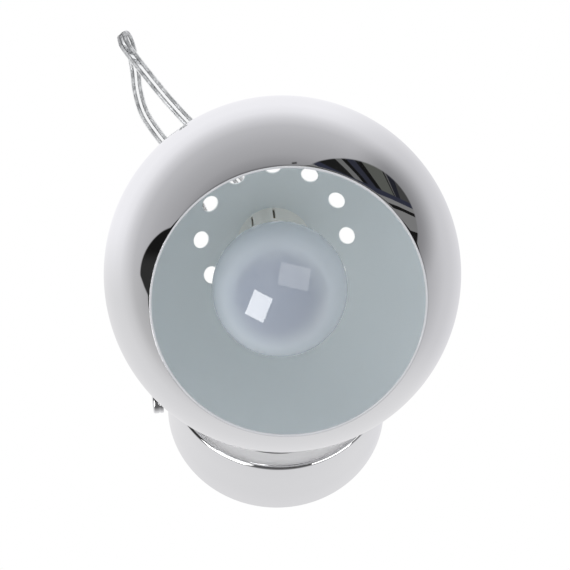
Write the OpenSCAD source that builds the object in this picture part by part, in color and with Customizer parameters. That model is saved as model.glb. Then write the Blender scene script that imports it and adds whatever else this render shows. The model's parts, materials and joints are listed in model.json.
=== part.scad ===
// Reading wall sconce: a chrome drum on the wall, a magnet on a short stem,
// and a steel ball shade that the magnet holds and that turns and tilts on it.
// World frame: the wall is the plane y = 0, the lamp stands out towards -y, z is up.
// Drum pieces are drawn in a frame with x to the right, y up and z away from the wall.
// Head pieces are drawn with the ball's centre at the origin and z along the light's axis.

/* [Ball shade] */
// Outer diameter of the ball
ball_d = 160; // [150:1:170]
// Thickness of the shade's steel
shade_wall = 1.1; // [0.8:0.1:2]
// How far the opening's plane lies in front of the ball's centre
opening_offset = 52; // [44:1:54]
// Number of vent holes round the back of the ball
vent_count = 12; // [6:1:14]
// Diameter of a vent hole
vent_d = 8; // [4:0.5:10]
// Angle between the back pole and the ring of vent holes
vent_ring_angle = 25.4; // [22:0.2:32]
// Turn of the first vent hole about the light's axis
vent_turn = -1; // [-15:1:15]
// Tilt of the light's axis down from straight out of the wall
head_tilt = 39; // [30:1:50]
// Turn of the tilted head about the drum's axis
head_turn = 3.5; // [-10:0.5:10]

/* [Drum base] */
// Outer diameter of the drum
drum_d = 104; // [100:1:120]
// Depth of the drum from the wall to its rolled rim
drum_depth = 48; // [46:1:60]
// Thickness of the drum's sheet
drum_wall = 1.2; // [0.8:0.1:1.6]
// Diameter of the rolled bead round the drum's front rim
bead_d = 2.5; // [2:0.1:4]
// Thickness of the front plate
plate_t = 1.2; // [0.8:0.1:2]
// Diameter of the pressed step in the front plate
plate_step_d = 88; // [60:1:90]
// Depth of the pressed step
plate_step = 1.2; // [0.6:0.1:2]
// Thickness of the wall plate
wall_plate_t = 1.5; // [1:0.1:2.5]
// Diameter of the two holes for wall screws
wall_hole_d = 4.5; // [3.5:0.1:6]
// Distance between the two wall screw holes
wall_hole_spacing = 60; // [50:1:70]
// How far the cable entry lies below the drum's axis
entry_drop = 22; // [14:1:30]
// Diameter of the cable entry through its grommet
entry_d = 8; // [6:0.5:10]
// Angle of the right fixing tab above the horizontal, mirrored on the left
tab_angle = 35; // [25:1:45]
// Width of a fixing tab
tab_w = 10; // [8:1:14]
// How far a fixing tab reaches from the wall
tab_reach = 12; // [10:1:16]
// Thread diameter of the drum's fixing screws
fixing_screw_d = 3; // [2.5:0.1:4]

/* [Magnet stem] */
// Gap between the drum's rim and the back of the ball
ball_gap = 23; // [20:1:40]
// Diameter of the stem's collar on the front plate
collar_d = 18; // [16:0.5:24]
// Height of the stem's collar
collar_h = 4; // [2:0.5:6]
// Diameter of the stem's neck
neck_d = 12; // [10:0.5:14]
// Thread diameter of the stem's inner end
stem_thread_d = 8; // [6:0.5:10]
// How far the threaded end reaches behind the front plate
stem_thread_len = 10.5; // [9:0.5:16]
// Diameter of the pivot that the magnet cup turns on
pivot_d = 6; // [5:0.5:7]
// Outer diameter of the magnet cup
cup_d = 24; // [22:0.5:28]
// Wall thickness of the magnet cup
cup_wall = 2; // [1.5:0.1:2.5]
// Thickness of the magnet cup's floor
cup_floor = 2.5; // [2:0.1:4]
// Thickness of the ring magnet
magnet_t = 7; // [5:0.5:8]
// Bore of the ring magnet
magnet_bore = 9.6; // [9.2:0.1:11]
// Air between the ball and the pad that carries it
pad_gap = 0.3; // [0.2:0.05:0.5]

/* [Bulb and holder] */
// Diameter of the bulb's globe
bulb_d = 60; // [50:1:66]
// Length of the bulb from its contact to its tip
bulb_len = 105; // [102:1:110]
// Thickness of the bulb's glass
glass_t = 0.8; // [0.5:0.1:1.2]
// Radius of the bulb's neck
bulb_neck_r = 14.5; // [13.5:0.1:16]
// Length of the bulb's straight neck above its screw cap
bulb_neck_len = 4.1; // [3.2:0.1:8]
// Diameter over the threads of the bulb's screw cap
screw_cap_d = 26; // [25.6:0.1:26.4]
// Length of the bulb's screw cap with its contact
screw_cap_len = 27; // [24:1:28]
// Outer diameter of the lampholder
holder_d = 35; // [34:0.5:39]
// Length of the lampholder's neck between its nut and its dome
holder_neck = 2; // [1:0.5:6]
// Sheet thickness of the lampholder's shell
holder_wall = 0.8; // [0.6:0.1:1.2]
// Length of the lampholder's slitted skirt
skirt_len = 26; // [24:1:30]
// Number of spring tongues cut in the skirt, each between two slits
tongue_count = 3; // [2:1:4]
// Angle that a tongue takes up round the skirt
tongue_angle = 35; // [20:1:50]
// Length of a tongue's slits
slit_len = 18; // [12:1:18]
// Width of a slit
slit_w = 1; // [0.6:0.1:1.6]
// Thread diameter of the nipple that carries the holder
nipple_d = 10; // [9:0.5:11]
// Bore of the nipple
nipple_bore = 7; // [6:0.5:7.5]
// How far the lampholder leans on its nipple, to the left as seen from the front
holder_lean = 1.4; // [0:0.1:1.5]

/* [Switch] */
// Angle of the switch below the horizontal on the drum's left side
switch_drop_angle = 7; // [0:1:20]
// Distance of the switch and of the cord bush from the wall
side_fitting_w = 24; // [23:0.5:28]
// Diameter of the push button
button_d = 12.5; // [11.5:0.5:14]
// Thickness of the push button
button_t = 4.8; // [4:0.1:8]
// Gap between the button and the drum
button_gap = 2.8; // [1.6:0.1:3]
// Diameter of the switch's threaded bushing
bushing_d = 6.4; // [6:0.1:7]
// Diameter of the button's stem
button_stem_d = 3.6; // [3:0.1:4]
// Wire diameter of the button's return spring
spring_wire_d = 0.5; // [0.4:0.05:0.6]
// Turns of the return spring
spring_turns = 5; // [3:1:6]

/* [Flex] */
// Width of the flat twin flex
flex_w = 5.4; // [4.8:0.1:6]
// Thickness of the flat twin flex
flex_t = 2.7; // [2.2:0.1:3]
// Length of the tapered strain relief on the ball
relief_len = 19.4; // [16:0.1:24]
// Angle of the cord bush on the drum, from the right over the top
cord_bush_angle = 108; // [100:1:125]
// Diameter of a single insulated core
core_d = 1.8; // [1.4:0.1:2.2]

/* [Clearances] */
// Radial clearance of a piece that sits in another
fit_clearance = 0.1; // [0.05:0.05:0.2]
// Radial clearance of a piece that turns or slides in another
running_clearance = 0.05; // [0.02:0.01:0.08]
// Axial play of a piece that turns on the pivot
play = 0.3; // [0.2:0.05:0.5]

/* [Hidden] */
$fn = 96;
through = 1;
seat_gap = 0.05;
ball_r = ball_d / 2;
drum_r = drum_d / 2;
ball_reach = drum_depth + ball_gap + ball_r;

// Drum stations along its axis, measured from the wall
plate_front = drum_depth - bead_d - fit_clearance;
plate_back = plate_front - plate_step - plate_t;
plate_seat = plate_front - plate_step;
drum_in_r = drum_r - drum_wall;
tab_screw_w = 7;
tab_t = 1.5;
tab_gap = 0.4;
tab_out_r = sqrt(pow(drum_in_r - tab_gap, 2) - pow(tab_w / 2, 2));
lower_tab_angle = -90;
fixing_hole_r = fixing_screw_d / 2 + fit_clearance;
wall_screw_hole_r = wall_hole_d / 2;
washer_t = 0.8;
washer_r = stem_thread_d / 2 + 3.5;
stem_nut_t = 6.2;
stem_nut_across = stem_thread_d + 5;
grommet_lip = 2;
grommet_wall = 1.6;
grommet_lip_t = 1.2;
entry_hole_r = entry_d / 2 + grommet_wall;

// Magnet carrier stations
collar_front = plate_seat + collar_h;
ball_back = ball_reach - ball_r;
pad_r = ball_r + pad_gap;
cup_r = cup_d / 2;
cup_in_r = cup_r - cup_wall;
pad_t = 2.5;
cup_rim_drop = 0.8;
magnet_front = ball_back - pad_gap - pad_t;
magnet_back = magnet_front - magnet_t;
cup_back = magnet_back - cup_floor;
neck_front = cup_back - play;
pivot_front = magnet_back + play;
pivot_head_r = pivot_d / 2 + 1.2;
pivot_head_t = 2;
pivot_screw_r = 1.5;
pivot_screw_len = 8;

// Head stations along the light's axis, measured from the ball's centre, from the back forward
shade_in_r = ball_r - shade_wall;
nipple_r = nipple_d / 2;
lock_washer_t = 0.59;
lock_washer_r = nipple_r + 2;
lock_washer_back = -sqrt(pow(shade_in_r, 2) - pow(lock_washer_r, 2)) + lock_washer_r * sin(holder_lean);
nut_t = 2.5;
nut_across = nipple_d + 4;
nut_back = lock_washer_back + lock_washer_t;
holder_r = holder_d / 2;
holder_in_r = holder_r - holder_wall;
holder_back = nut_back + nut_t;
holder_split = holder_back + holder_neck + holder_r;
neck_tube_r = nipple_r + 2.5;
nipple_reach_in = 8;
nipple_reach_out = 6;
nipple_front = holder_back + nipple_reach_in;
nipple_back = -ball_r - nipple_reach_out;
insulator_t = 7.5;
insulator_lift = 2;
insulator_front = holder_split + insulator_lift;
insulator_back = insulator_front - insulator_t;
insulator_r = sqrt(pow(holder_in_r, 2) - pow(holder_split - insulator_back, 2)) - fit_clearance;
skirt_front = holder_split + skirt_len;
slit_back = holder_split + insulator_lift;
terminal_x = 8.5;
terminal_head_r = 2.6;
terminal_head_t = 1.6;
terminal_thread_r = 1.5;

// Bulb stations on the same axis, from its contact forward
contact_room = 6;
bulb_end = insulator_front + contact_room;
bulb_tip = bulb_end + bulb_len;
bulb_r = bulb_d / 2;
globe_z = bulb_tip - bulb_r;
contact_h = 1.2;
vitrite_h = 2.2;
screw_cap_back = bulb_end + contact_h + vitrite_h;
screw_cap_front = bulb_end + screw_cap_len;
screw_cap_r = screw_cap_d / 2;
screw_cap_in_r = screw_cap_r - 1.5;
thread_pitch = 3.6;
hollow_z = screw_cap_front + bulb_neck_len;
bulb_hollow_r = (pow(globe_z - hollow_z, 2) + pow(bulb_neck_r, 2) - pow(bulb_r, 2))
    / (2 * (bulb_r - bulb_neck_r));
bulb_shoulder = 3;
cap_grip = 6;
cap_end_t = 0.6;
stem_top = globe_z - 20;
filament_z = globe_z - 4;
sleeve_gap = 0.35;
sleeve_t = 0.5;
sleeve_r = screw_cap_r + sleeve_gap;
sleeve_front = screw_cap_front - 7;
first_thread = 5;

// Strain relief on the ball's back pole
relief_flange_t = 2.5;
relief_flange_r = nipple_r + 2.5;
relief_front = -ball_r - seat_gap;
relief_end = relief_front - relief_flange_t - relief_len;
relief_tip_r = flex_w / 2 + 1.1;
flex_bore_r = flex_w / 2 - 0.5;

// Switch stations, measured out from the drum's axis along the switch's own axis
switch_angle = 180 + switch_drop_angle;
bushing_r = bushing_d / 2;
bushing_lip_r = bushing_r + 0.6;
bushing_lip_t = 1;
button_in = drum_r + button_gap;
button_out = button_in + button_t;
button_travel = 1.4;
button_recess_r = bushing_lip_r + 0.5;
button_recess = 1.8;
button_edge_r = 1;
switch_nut_across = bushing_d + 3.6;
switch_nut_t = 2;
nut_corner = switch_nut_across / 2 / cos(30);
switch_nut_out = sqrt(pow(drum_in_r, 2) - pow(nut_corner, 2)) - seat_gap;
switch_body_out = switch_nut_out - switch_nut_t;
switch_body_len = 14;
switch_body_in = switch_body_out - switch_body_len;
switch_body_size = 12;
bushing_in = switch_body_out - 4;
foot_t = 1.2;
foot_out = bushing_in - play;
foot_in = foot_out - foot_t;
foot_r = bushing_r - 0.4;
spring_room = 4.1;
chamber_in = foot_in - button_travel - spring_room;
spring_r = foot_r - 0.6;
button_stem_r = button_stem_d / 2;
lug_len = 4;
lug_w = 3;
lug_t = 0.8;
lug_place = 3.2;

// Cord bush on the drum
bush_thread_r = 3.6;
bush_flange_r = 5.5;
bush_flange_t = 2;
bush_taper_len = 10;
bush_tip = drum_r + seat_gap + bush_flange_t + bush_taper_len;
bush_nut_across = 11;
bush_nut_t = 2.5;
bush_nut_out = sqrt(pow(drum_in_r, 2) - pow(bush_nut_across / 2 / cos(30), 2)) - seat_gap;
bush_in = bush_nut_out - bush_nut_t - 1.5;

// Terminal block on the wall plate
block_y = 20;
block_w = 24;
block_h = 12;
block_t = 13;
block_pitch = 14;
block_well_r = 2.2;
block_well_depth = 6;
block_wire_r = 1.8;
block_screw_r = 1.5;
block_front = wall_plate_t + block_t;

// Points of the flex's free route between the two strain reliefs, in the world frame
free_route = [
    [-6, -60.5, 75.5],
    [-11.5, -58.5, 84],
    [-19.5, -60.5, 92.5],
    [-28, -64.5, 101.5],
    [-36.5, -68.5, 110.5],
    [-45.5, -72, 119.5],
    [-54.5, -75, 129],
    [-62.5, -76.5, 139],
    [-69.5, -76, 149],
    [-74.5, -72.5, 158.5],
    [-76, -65.5, 167],
    [-74.5, -56.5, 172],
    [-72, -46.5, 170.5],
    [-70, -39, 163],
    [-68.5, -35, 152.5],
    [-65, -33, 141.5],
    [-58.5, -32.5, 131],
    [-51.5, -33, 121],
    [-46, -32.5, 110.5],
    [-41, -31.5, 100],
    [-35.8, -29.6, 89.3],
    [-29.5, -27, 79]
];
// Direction across the flat side of the flex, square to the view along its bend
flex_across = [0.744, -0.296, 0.598];
straight_len = 8;
bush_straight_len = 6;

function unit(v) = v / norm(v);
function lean_about_y(p, a) = [p.x * cos(a) + p.z * sin(a), p.y, p.z * cos(a) - p.x * sin(a)];
function tilt_about_x(p, a) = [p.x, p.y * cos(a) - p.z * sin(a), p.y * sin(a) + p.z * cos(a)];
function turn_about_z(p, a) = [p.x * cos(a) - p.y * sin(a), p.x * sin(a) + p.y * cos(a), p.z];
function drum_to_world(p) = [p.x, -p.z, p.y];
function head_to_world(p) =
    drum_to_world(turn_about_z(tilt_about_x(p, head_tilt), head_turn) + [0, 0, ball_reach]);
function holder_to_world(p) =
    head_to_world(lean_about_y(p + [0, 0, ball_r], -holder_lean) - [0, 0, ball_r]);
function side_point(angle, r) =
    drum_to_world([r * cos(angle), r * sin(angle), side_fitting_w]);
function tangent(path, i) = unit(path[min(i + 1, len(path) - 1)] - path[max(i - 1, 0)]);
function across_at(path, i, across) =
    let (t = tangent(path, i))
    unit(across - (across * t) * t);
function ring_at(path, i, half_w, half_t, across, sides) =
    let (a = across_at(path, i, across), b = cross(tangent(path, i), a))
    [for (k = [0 : sides - 1])
        path[i] + half_w * cos(360 * k / sides) * a + half_t * sin(360 * k / sides) * b];

flex_route = concat(
    [holder_to_world([0, 0, relief_end])],
    [holder_to_world([0, 0, relief_end - straight_len])],
    free_route,
    [side_point(cord_bush_angle, bush_tip + bush_straight_len)],
    [side_point(cord_bush_angle, bush_tip)]
);

// A tube along a path, as one closed surface with an oval or round section
module tube_along(path, half_w, half_t, across, sides) {
    rings = len(path);
    points = [for (i = [0 : rings - 1]) each ring_at(path, i, half_w, half_t, across, sides)];
    walls = [
        for (i = [0 : rings - 2])
            for (k = [0 : sides - 1])
                let (next = (k + 1) % sides)
                    each [
                        [i * sides + k, (i + 1) * sides + next, i * sides + next],
                        [i * sides + k, (i + 1) * sides + k, (i + 1) * sides + next]
                    ]
    ];
    first = [[for (k = [0 : sides - 1]) k]];
    last = [[for (k = [sides - 1 : -1 : 0]) (rings - 1) * sides + k]];
    polyhedron(points = points, faces = concat(walls, first, last), convexity = 6);
}

// A cylinder between two stations on the current z axis
module rod(r, from, to) {
    translate([0, 0, from]) cylinder(r = r, h = to - from);
}

// A straight bore or a hole that runs a little past both stations
module bore(r, from, to) {
    translate([0, 0, from - through]) cylinder(r = r, h = to - from + 2 * through);
}

module tube(r_out, r_in, from, to) {
    difference() {
        rod(r_out, from, to);
        bore(r_in, from, to);
    }
}

module hex_nut(across, r_in, from, to) {
    difference() {
        translate([0, 0, from]) cylinder(r = across / 2 / cos(30), h = to - from, $fn = 6);
        bore(r_in, from, to);
    }
}

// The drum's frame, with z away from the wall
module from_wall() {
    rotate([90, 0, 0]) children();
}

// A radial place on the drum's side, with z out from the drum's axis
module on_side(angle, w) {
    from_wall()
        translate([0, 0, w])
            rotate([0, 0, angle])
                rotate([0, 90, 0])
                    children();
}

// The head's frame, with the ball's centre at the origin and z along the light
module in_head() {
    from_wall()
        translate([0, 0, ball_reach])
            rotate([0, 0, head_turn])
                rotate([head_tilt, 0, 0])
                    children();
}

// The lampholder's frame: the head's frame, leaned about the ball's back pole
module in_holder() {
    in_head()
        translate([0, 0, -ball_r])
            rotate([0, -holder_lean, 0])
                translate([0, 0, ball_r])
                    children();
}

module drum_shell() {
    bead_r = bead_d / 2;
    color("silver")
    difference() {
        from_wall()
            rotate_extrude() {
                translate([drum_in_r, 0]) square([drum_wall, drum_depth - bead_r]);
                translate([drum_r - bead_r, drum_depth - bead_r]) circle(r = bead_r);
            }
        for (angle = [tab_angle, 180 - tab_angle])
            on_side(angle, tab_screw_w) bore(fixing_hole_r, drum_in_r, drum_r);
        on_side(switch_angle, side_fitting_w) bore(bushing_r + fit_clearance, drum_in_r, drum_r);
        on_side(cord_bush_angle, side_fitting_w) bore(bush_thread_r + fit_clearance, drum_in_r, drum_r);
    }
}

module front_plate() {
    step_r = plate_step_d / 2;
    color("silver")
    from_wall()
        rotate_extrude() {
            translate([step_r - plate_t, plate_seat])
                square([drum_in_r - fit_clearance - step_r + plate_t, plate_t]);
            translate([step_r - plate_t, plate_back]) square([plate_t, plate_step + plate_t]);
            translate([stem_thread_d / 2 + fit_clearance, plate_back])
                square([step_r - stem_thread_d / 2 - fit_clearance, plate_t]);
        }
}

module fixing_tab(angle, drilled) {
    difference() {
        rotate([0, 0, angle])
            translate([tab_out_r - tab_t, -tab_w / 2, 0]) cube([tab_t, tab_w, tab_reach]);
        if (drilled)
            translate([0, 0, tab_screw_w])
                rotate([0, 0, angle])
                    rotate([0, 90, 0])
                        bore(fixing_screw_d / 2 + running_clearance, tab_out_r - tab_t, tab_out_r);
    }
}

module wall_plate() {
    color("gainsboro")
    from_wall() {
        difference() {
            rod(drum_in_r - fit_clearance, 0, wall_plate_t);
            for (side = [-1, 1])
                translate([side * wall_hole_spacing / 2, 0, 0])
                    bore(wall_screw_hole_r, 0, wall_plate_t);
            translate([0, -entry_drop, 0]) bore(entry_hole_r, 0, wall_plate_t);
            translate([0, block_y, 0]) bore(block_screw_r + fit_clearance, 0, wall_plate_t);
        }
        fixing_tab(tab_angle, true);
        fixing_tab(180 - tab_angle, true);
        fixing_tab(lower_tab_angle, false);
    }
}

module drum_screws() {
    head_r = fixing_screw_d * 0.92;
    head_t = fixing_screw_d * 0.55;
    slot_w = 0.7;
    color("lightgray")
    for (angle = [tab_angle, 180 - tab_angle])
        on_side(angle, tab_screw_w)
            difference() {
                union() {
                    rod(fixing_screw_d / 2, tab_out_r - tab_t - 2, drum_r);
                    rod(head_r, drum_r, drum_r + head_t);
                }
                translate([-slot_w / 2, -head_r, drum_r + head_t * 0.4]) cube([slot_w, 2 * head_r, head_t]);
            }
}

module entry_grommet() {
    color("dimgray")
    from_wall()
        translate([0, -entry_drop, 0])
            difference() {
                union() {
                    rod(entry_hole_r - fit_clearance, 0, wall_plate_t);
                    rod(entry_hole_r + grommet_lip, wall_plate_t, wall_plate_t + grommet_lip_t);
                }
                bore(entry_d / 2, 0, wall_plate_t + grommet_lip_t);
            }
}

module pedestal_stem() {
    color("lightsteelblue")
    from_wall()
        difference() {
            union() {
                rod(stem_thread_d / 2, plate_back - stem_thread_len, plate_seat);
                rod(collar_d / 2, plate_seat, collar_front);
                rod(neck_d / 2, collar_front, neck_front);
                rod(pivot_d / 2, neck_front, pivot_front);
            }
            bore(pivot_screw_r + running_clearance, pivot_front - pivot_screw_len, pivot_front);
        }
}

module stem_washer() {
    color("gainsboro")
    from_wall() tube(washer_r, stem_thread_d / 2 + fit_clearance, plate_back - washer_t, plate_back);
}

module stem_nut() {
    nut_front = plate_back - washer_t;
    color("gold")
    from_wall()
        hex_nut(stem_nut_across, stem_thread_d / 2 + running_clearance, nut_front - stem_nut_t, nut_front);
}

module pivot_screw() {
    slot_w = 1;
    color("gray")
    from_wall()
        difference() {
            union() {
                rod(pivot_screw_r, pivot_front - pivot_screw_len + 1, pivot_front);
                rod(pivot_head_r, pivot_front, pivot_front + pivot_head_t);
            }
            translate([-slot_w / 2, -pivot_head_r, pivot_front + pivot_head_t / 2])
                cube([slot_w, 2 * pivot_head_r, pivot_head_t]);
        }
}

module magnet_cup() {
    rim_front = ball_reach - sqrt(pow(pad_r, 2) - pow(cup_in_r, 2)) - cup_rim_drop;
    color("darkgray")
    from_wall()
        difference() {
            rod(cup_r, cup_back, rim_front);
            rod(cup_in_r, magnet_back, rim_front + through);
            bore(pivot_d / 2 + running_clearance, cup_back, magnet_back);
        }
}

module ring_magnet() {
    color("slategray")
    from_wall() tube(cup_in_r - fit_clearance, magnet_bore / 2, magnet_back, magnet_front);
}

module contact_pad() {
    color("whitesmoke")
    from_wall()
        difference() {
            tube(cup_in_r - fit_clearance, magnet_bore / 2, magnet_front, ball_back + 2);
            translate([0, 0, ball_reach]) sphere(r = pad_r);
        }
}

module terminal_block() {
    color("ivory")
    from_wall()
        translate([0, block_y, 0])
            difference() {
                translate([-block_w / 2, -block_h / 2, wall_plate_t]) cube([block_w, block_h, block_t]);
                bore(block_screw_r + fit_clearance, wall_plate_t, block_front);
                for (side = [-1, 1])
                    translate([side * block_pitch / 2, 0, 0]) {
                        rod(block_well_r, block_front - block_well_depth, block_front + through);
                        translate([0, 0, block_front - block_well_depth])
                            rotate([90, 0, 0])
                                bore(block_wire_r, -block_h / 2, block_h / 2);
                    }
            }
}

module block_screw() {
    head_r = 2.7;
    head_t = 1.6;
    color("lightgray")
    from_wall()
        translate([0, block_y, 0]) {
            rod(block_screw_r, 0.2, block_front);
            rod(head_r, block_front, block_front + head_t);
        }
}

module terminal_screws() {
    slot_w = 0.8;
    screw_in = block_front - block_well_depth + block_wire_r;
    screw_out = block_front - 0.5;
    color("gold")
    from_wall()
        for (side = [-1, 1])
            translate([side * block_pitch / 2, block_y, 0])
                difference() {
                    rod(block_well_r - fit_clearance, screw_in, screw_out);
                    translate([-slot_w / 2, -block_well_r, screw_out - 1])
                        cube([slot_w, 2 * block_well_r, 1 + through]);
                }
}

module core_wire(path) {
    tube_along(path, core_d / 2, core_d / 2, [0.31, 0.85, 0.42], 8);
}

// The two cores from the cord bush, and the link from the switch to the block
module inner_leads() {
    bush_out = side_point(cord_bush_angle, bush_in - 1);
    wire_w = block_front - block_well_depth;
    block_top = block_y + block_h / 2;
    block_low = block_y - block_h / 2;
    half_pitch = block_pitch / 2;
    lug = function (side, r) drum_to_world([
        r * cos(switch_angle) - side * lug_place * sin(switch_angle),
        r * sin(switch_angle) + side * lug_place * cos(switch_angle),
        side_fitting_w
    ]);
    lug_end = switch_body_in - lug_len;
    color("white") {
        core_wire([
            bush_out + [0, -1.2, 0],
            bush_out + [2, -1.6, -4],
            drum_to_world([-12, block_top + 7.5, side_fitting_w - 2]),
            drum_to_world([-half_pitch - 2.5, block_top + 7, wire_w + 6]),
            drum_to_world([-half_pitch, block_top + 4.5, wire_w + 1]),
            drum_to_world([-half_pitch, block_top + 1, wire_w]),
            drum_to_world([-half_pitch, block_y + 2, wire_w])
        ]);
        core_wire([
            bush_out + [0, 1.2, 0],
            bush_out + [1.5, 1.2, -4],
            drum_to_world([-20, 26, side_fitting_w - 3]),
            drum_to_world([-22, 16, side_fitting_w - 2]),
            drum_to_world([-22.5, 8, side_fitting_w - 1]),
            lug(-1, lug_end - 5) + [1, 0, 1.5],
            lug(-1, lug_end - 1)
        ]);
        core_wire([
            lug(1, lug_end - 1),
            lug(1, lug_end - 5),
            drum_to_world([-16, -6, side_fitting_w - 3]),
            drum_to_world([-6, -4, side_fitting_w - 8]),
            drum_to_world([2, 2, wire_w + 4]),
            drum_to_world([half_pitch, block_low - 5, wire_w + 1]),
            drum_to_world([half_pitch, block_low - 1, wire_w]),
            drum_to_world([half_pitch, block_y - 2, wire_w])
        ]);
    }
}

module switch_body() {
    half = switch_body_size / 2;
    color("darkslategray")
    on_side(switch_angle, side_fitting_w) {
        difference() {
            translate([-half, -half, switch_body_in])
                cube([switch_body_size, switch_body_size, switch_body_len]);
            rod(bushing_r + fit_clearance, bushing_in, switch_body_out + through);
            rod(foot_r + fit_clearance, chamber_in, bushing_in + through);
        }
        for (side = [-1, 1])
            translate([-lug_t / 2, side * lug_place - lug_w / 2, switch_body_in - lug_len])
                cube([lug_t, lug_w, lug_len]);
    }
}

module switch_bushing() {
    color("gainsboro")
    on_side(switch_angle, side_fitting_w)
        difference() {
            union() {
                rod(bushing_r, bushing_in, drum_r + bushing_lip_t);
                rod(bushing_lip_r, drum_r, drum_r + bushing_lip_t);
            }
            bore(button_stem_r + running_clearance, bushing_in, drum_r + bushing_lip_t);
        }
}

module switch_nut() {
    color("gainsboro")
    on_side(switch_angle, side_fitting_w)
        hex_nut(switch_nut_across, bushing_r + running_clearance, switch_body_out, switch_nut_out);
}

module switch_spring() {
    steps = 10;
    wire_r = spring_wire_d / 2;
    low = chamber_in + wire_r + 0.1;
    high = foot_in - wire_r - 0.1;
    count = spring_turns * steps;
    path = [for (i = [0 : count])
        [spring_r * cos(360 * i / steps), spring_r * sin(360 * i / steps), low + (high - low) * i / count]];
    color("gray")
    on_side(switch_angle, side_fitting_w) tube_along(path, wire_r, wire_r, [0, 0, 1], 6);
}

module switch_button() {
    button_r = button_d / 2;
    color("silver")
    on_side(switch_angle, side_fitting_w) {
        rotate_extrude()
            difference() {
                union() {
                    translate([0, button_in]) square([button_r, button_t - button_edge_r]);
                    translate([0, button_in]) square([button_r - button_edge_r, button_t]);
                    translate([button_r - button_edge_r, button_out - button_edge_r])
                        circle(r = button_edge_r);
                }
                translate([0, button_in - through]) square([button_recess_r, button_recess + through]);
            }
        rod(button_stem_r, foot_in, button_in + button_recess);
        rod(foot_r, foot_in, foot_out);
    }
}

module drum_cord_bush() {
    flange_in = drum_r + seat_gap;
    taper_in = flange_in + bush_flange_t;
    color("dimgray")
    on_side(cord_bush_angle, side_fitting_w)
        rotate_extrude()
            polygon([
                [flex_bore_r, bush_in],
                [bush_thread_r, bush_in],
                [bush_thread_r, flange_in],
                [bush_flange_r, flange_in],
                [bush_flange_r, taper_in],
                [bush_flange_r - 0.8, taper_in + 0.8],
                [relief_tip_r, bush_tip],
                [flex_bore_r, bush_tip]
            ]);
}

module cord_bush_nut() {
    color("dimgray")
    on_side(cord_bush_angle, side_fitting_w)
        hex_nut(bush_nut_across, bush_thread_r + running_clearance, bush_nut_out - bush_nut_t, bush_nut_out);
}

module flex_cord() {
    color("lightcyan") tube_along(flex_route, flex_w / 2, flex_t / 2, flex_across, 8);
}

module shade_shell() {
    color("silver")
    in_head()
        difference() {
            sphere(r = ball_r);
            sphere(r = shade_in_r);
            rod(ball_d, opening_offset, ball_d);
            bore(nipple_r + fit_clearance, -ball_r, -shade_in_r);
            for (i = [0 : vent_count - 1])
                rotate([0, 0, vent_turn + 360 * i / vent_count])
                    rotate([0, 180 - vent_ring_angle, 0])
                        bore(vent_d / 2, shade_in_r, ball_r);
        }
}

module ball_strain_relief() {
    flange_back = relief_front - relief_flange_t;
    color("dimgray")
    in_holder()
        rotate_extrude()
            polygon([
                [nipple_r + running_clearance, relief_front],
                [relief_flange_r, relief_front],
                [relief_flange_r, flange_back],
                [relief_flange_r - 0.8, flange_back - 0.8],
                [relief_tip_r, relief_end],
                [flex_bore_r, relief_end],
                [flex_bore_r, nipple_back - 0.4],
                [nipple_r + running_clearance, nipple_back - 0.4]
            ]);
}

module holder_nipple() {
    color("gold")
    in_holder() tube(nipple_r, nipple_bore / 2, nipple_back, nipple_front);
}

module nipple_nut() {
    color("gold")
    in_holder() hex_nut(nut_across, nipple_r + running_clearance, nut_back, holder_back);
}

module lock_washer() {
    color("gainsboro")
    in_holder() tube(lock_washer_r, nipple_r + fit_clearance, lock_washer_back, nut_back);
}

module holder_cap() {
    color("tan")
    in_holder()
        difference() {
            union() {
                intersection() {
                    translate([0, 0, holder_split]) sphere(r = holder_r);
                    rod(holder_d, holder_split - holder_d, holder_split);
                }
                rod(neck_tube_r, holder_back, holder_split - holder_in_r + 1);
            }
            translate([0, 0, holder_split]) sphere(r = holder_in_r);
            bore(nipple_r + running_clearance, holder_back, holder_split - holder_in_r);
        }
}

module holder_skirt() {
    lip_r = 0.6;
    color("tan")
    in_holder()
        difference() {
            rotate_extrude() {
                translate([holder_in_r, holder_split]) square([holder_wall, skirt_len - lip_r]);
                translate([holder_r - lip_r / 2, skirt_front - lip_r]) circle(r = lip_r);
            }
            for (i = [0 : tongue_count - 1], side = [0, 1])
                rotate([0, 0, 90 + 360 * i / tongue_count + side * tongue_angle])
                    translate([holder_in_r - through, -slit_w / 2, slit_back])
                        cube([holder_wall + 2 * through, slit_w, slit_len]);
        }
}

module holder_insulator() {
    color("ivory")
    in_holder()
        difference() {
            rod(insulator_r, insulator_back, insulator_front);
            for (side = [-1, 1])
                translate([side * terminal_x, 0, 0])
                    bore(terminal_thread_r + running_clearance, insulator_back, insulator_front);
        }
}

module holder_screws() {
    color("gold")
    in_holder()
        for (side = [-1, 1])
            translate([side * terminal_x, 0, 0]) {
                rod(terminal_thread_r, insulator_back, insulator_front - 1);
                rod(terminal_head_r, insulator_back - terminal_head_t, insulator_back);
            }
}

// The two cores from the nipple to the holder's terminals
module holder_leads() {
    wire_z = insulator_back - terminal_head_t - core_d / 2;
    inner = core_d * 0.8;
    color("white")
    in_holder()
        for (side = [-1, 1])
            core_wire([
                [side * inner, 0, nipple_back + 1],
                [side * inner, 0, holder_back],
                [side * inner, 0, nipple_front - 2],
                [side * (inner + 0.4), 0, nipple_front],
                [side * (inner + 2), 0, wire_z - 2.6],
                [side * (terminal_x - 3), 0, wire_z - 0.4],
                [side * terminal_x, 0, wire_z]
            ]);
}

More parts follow.
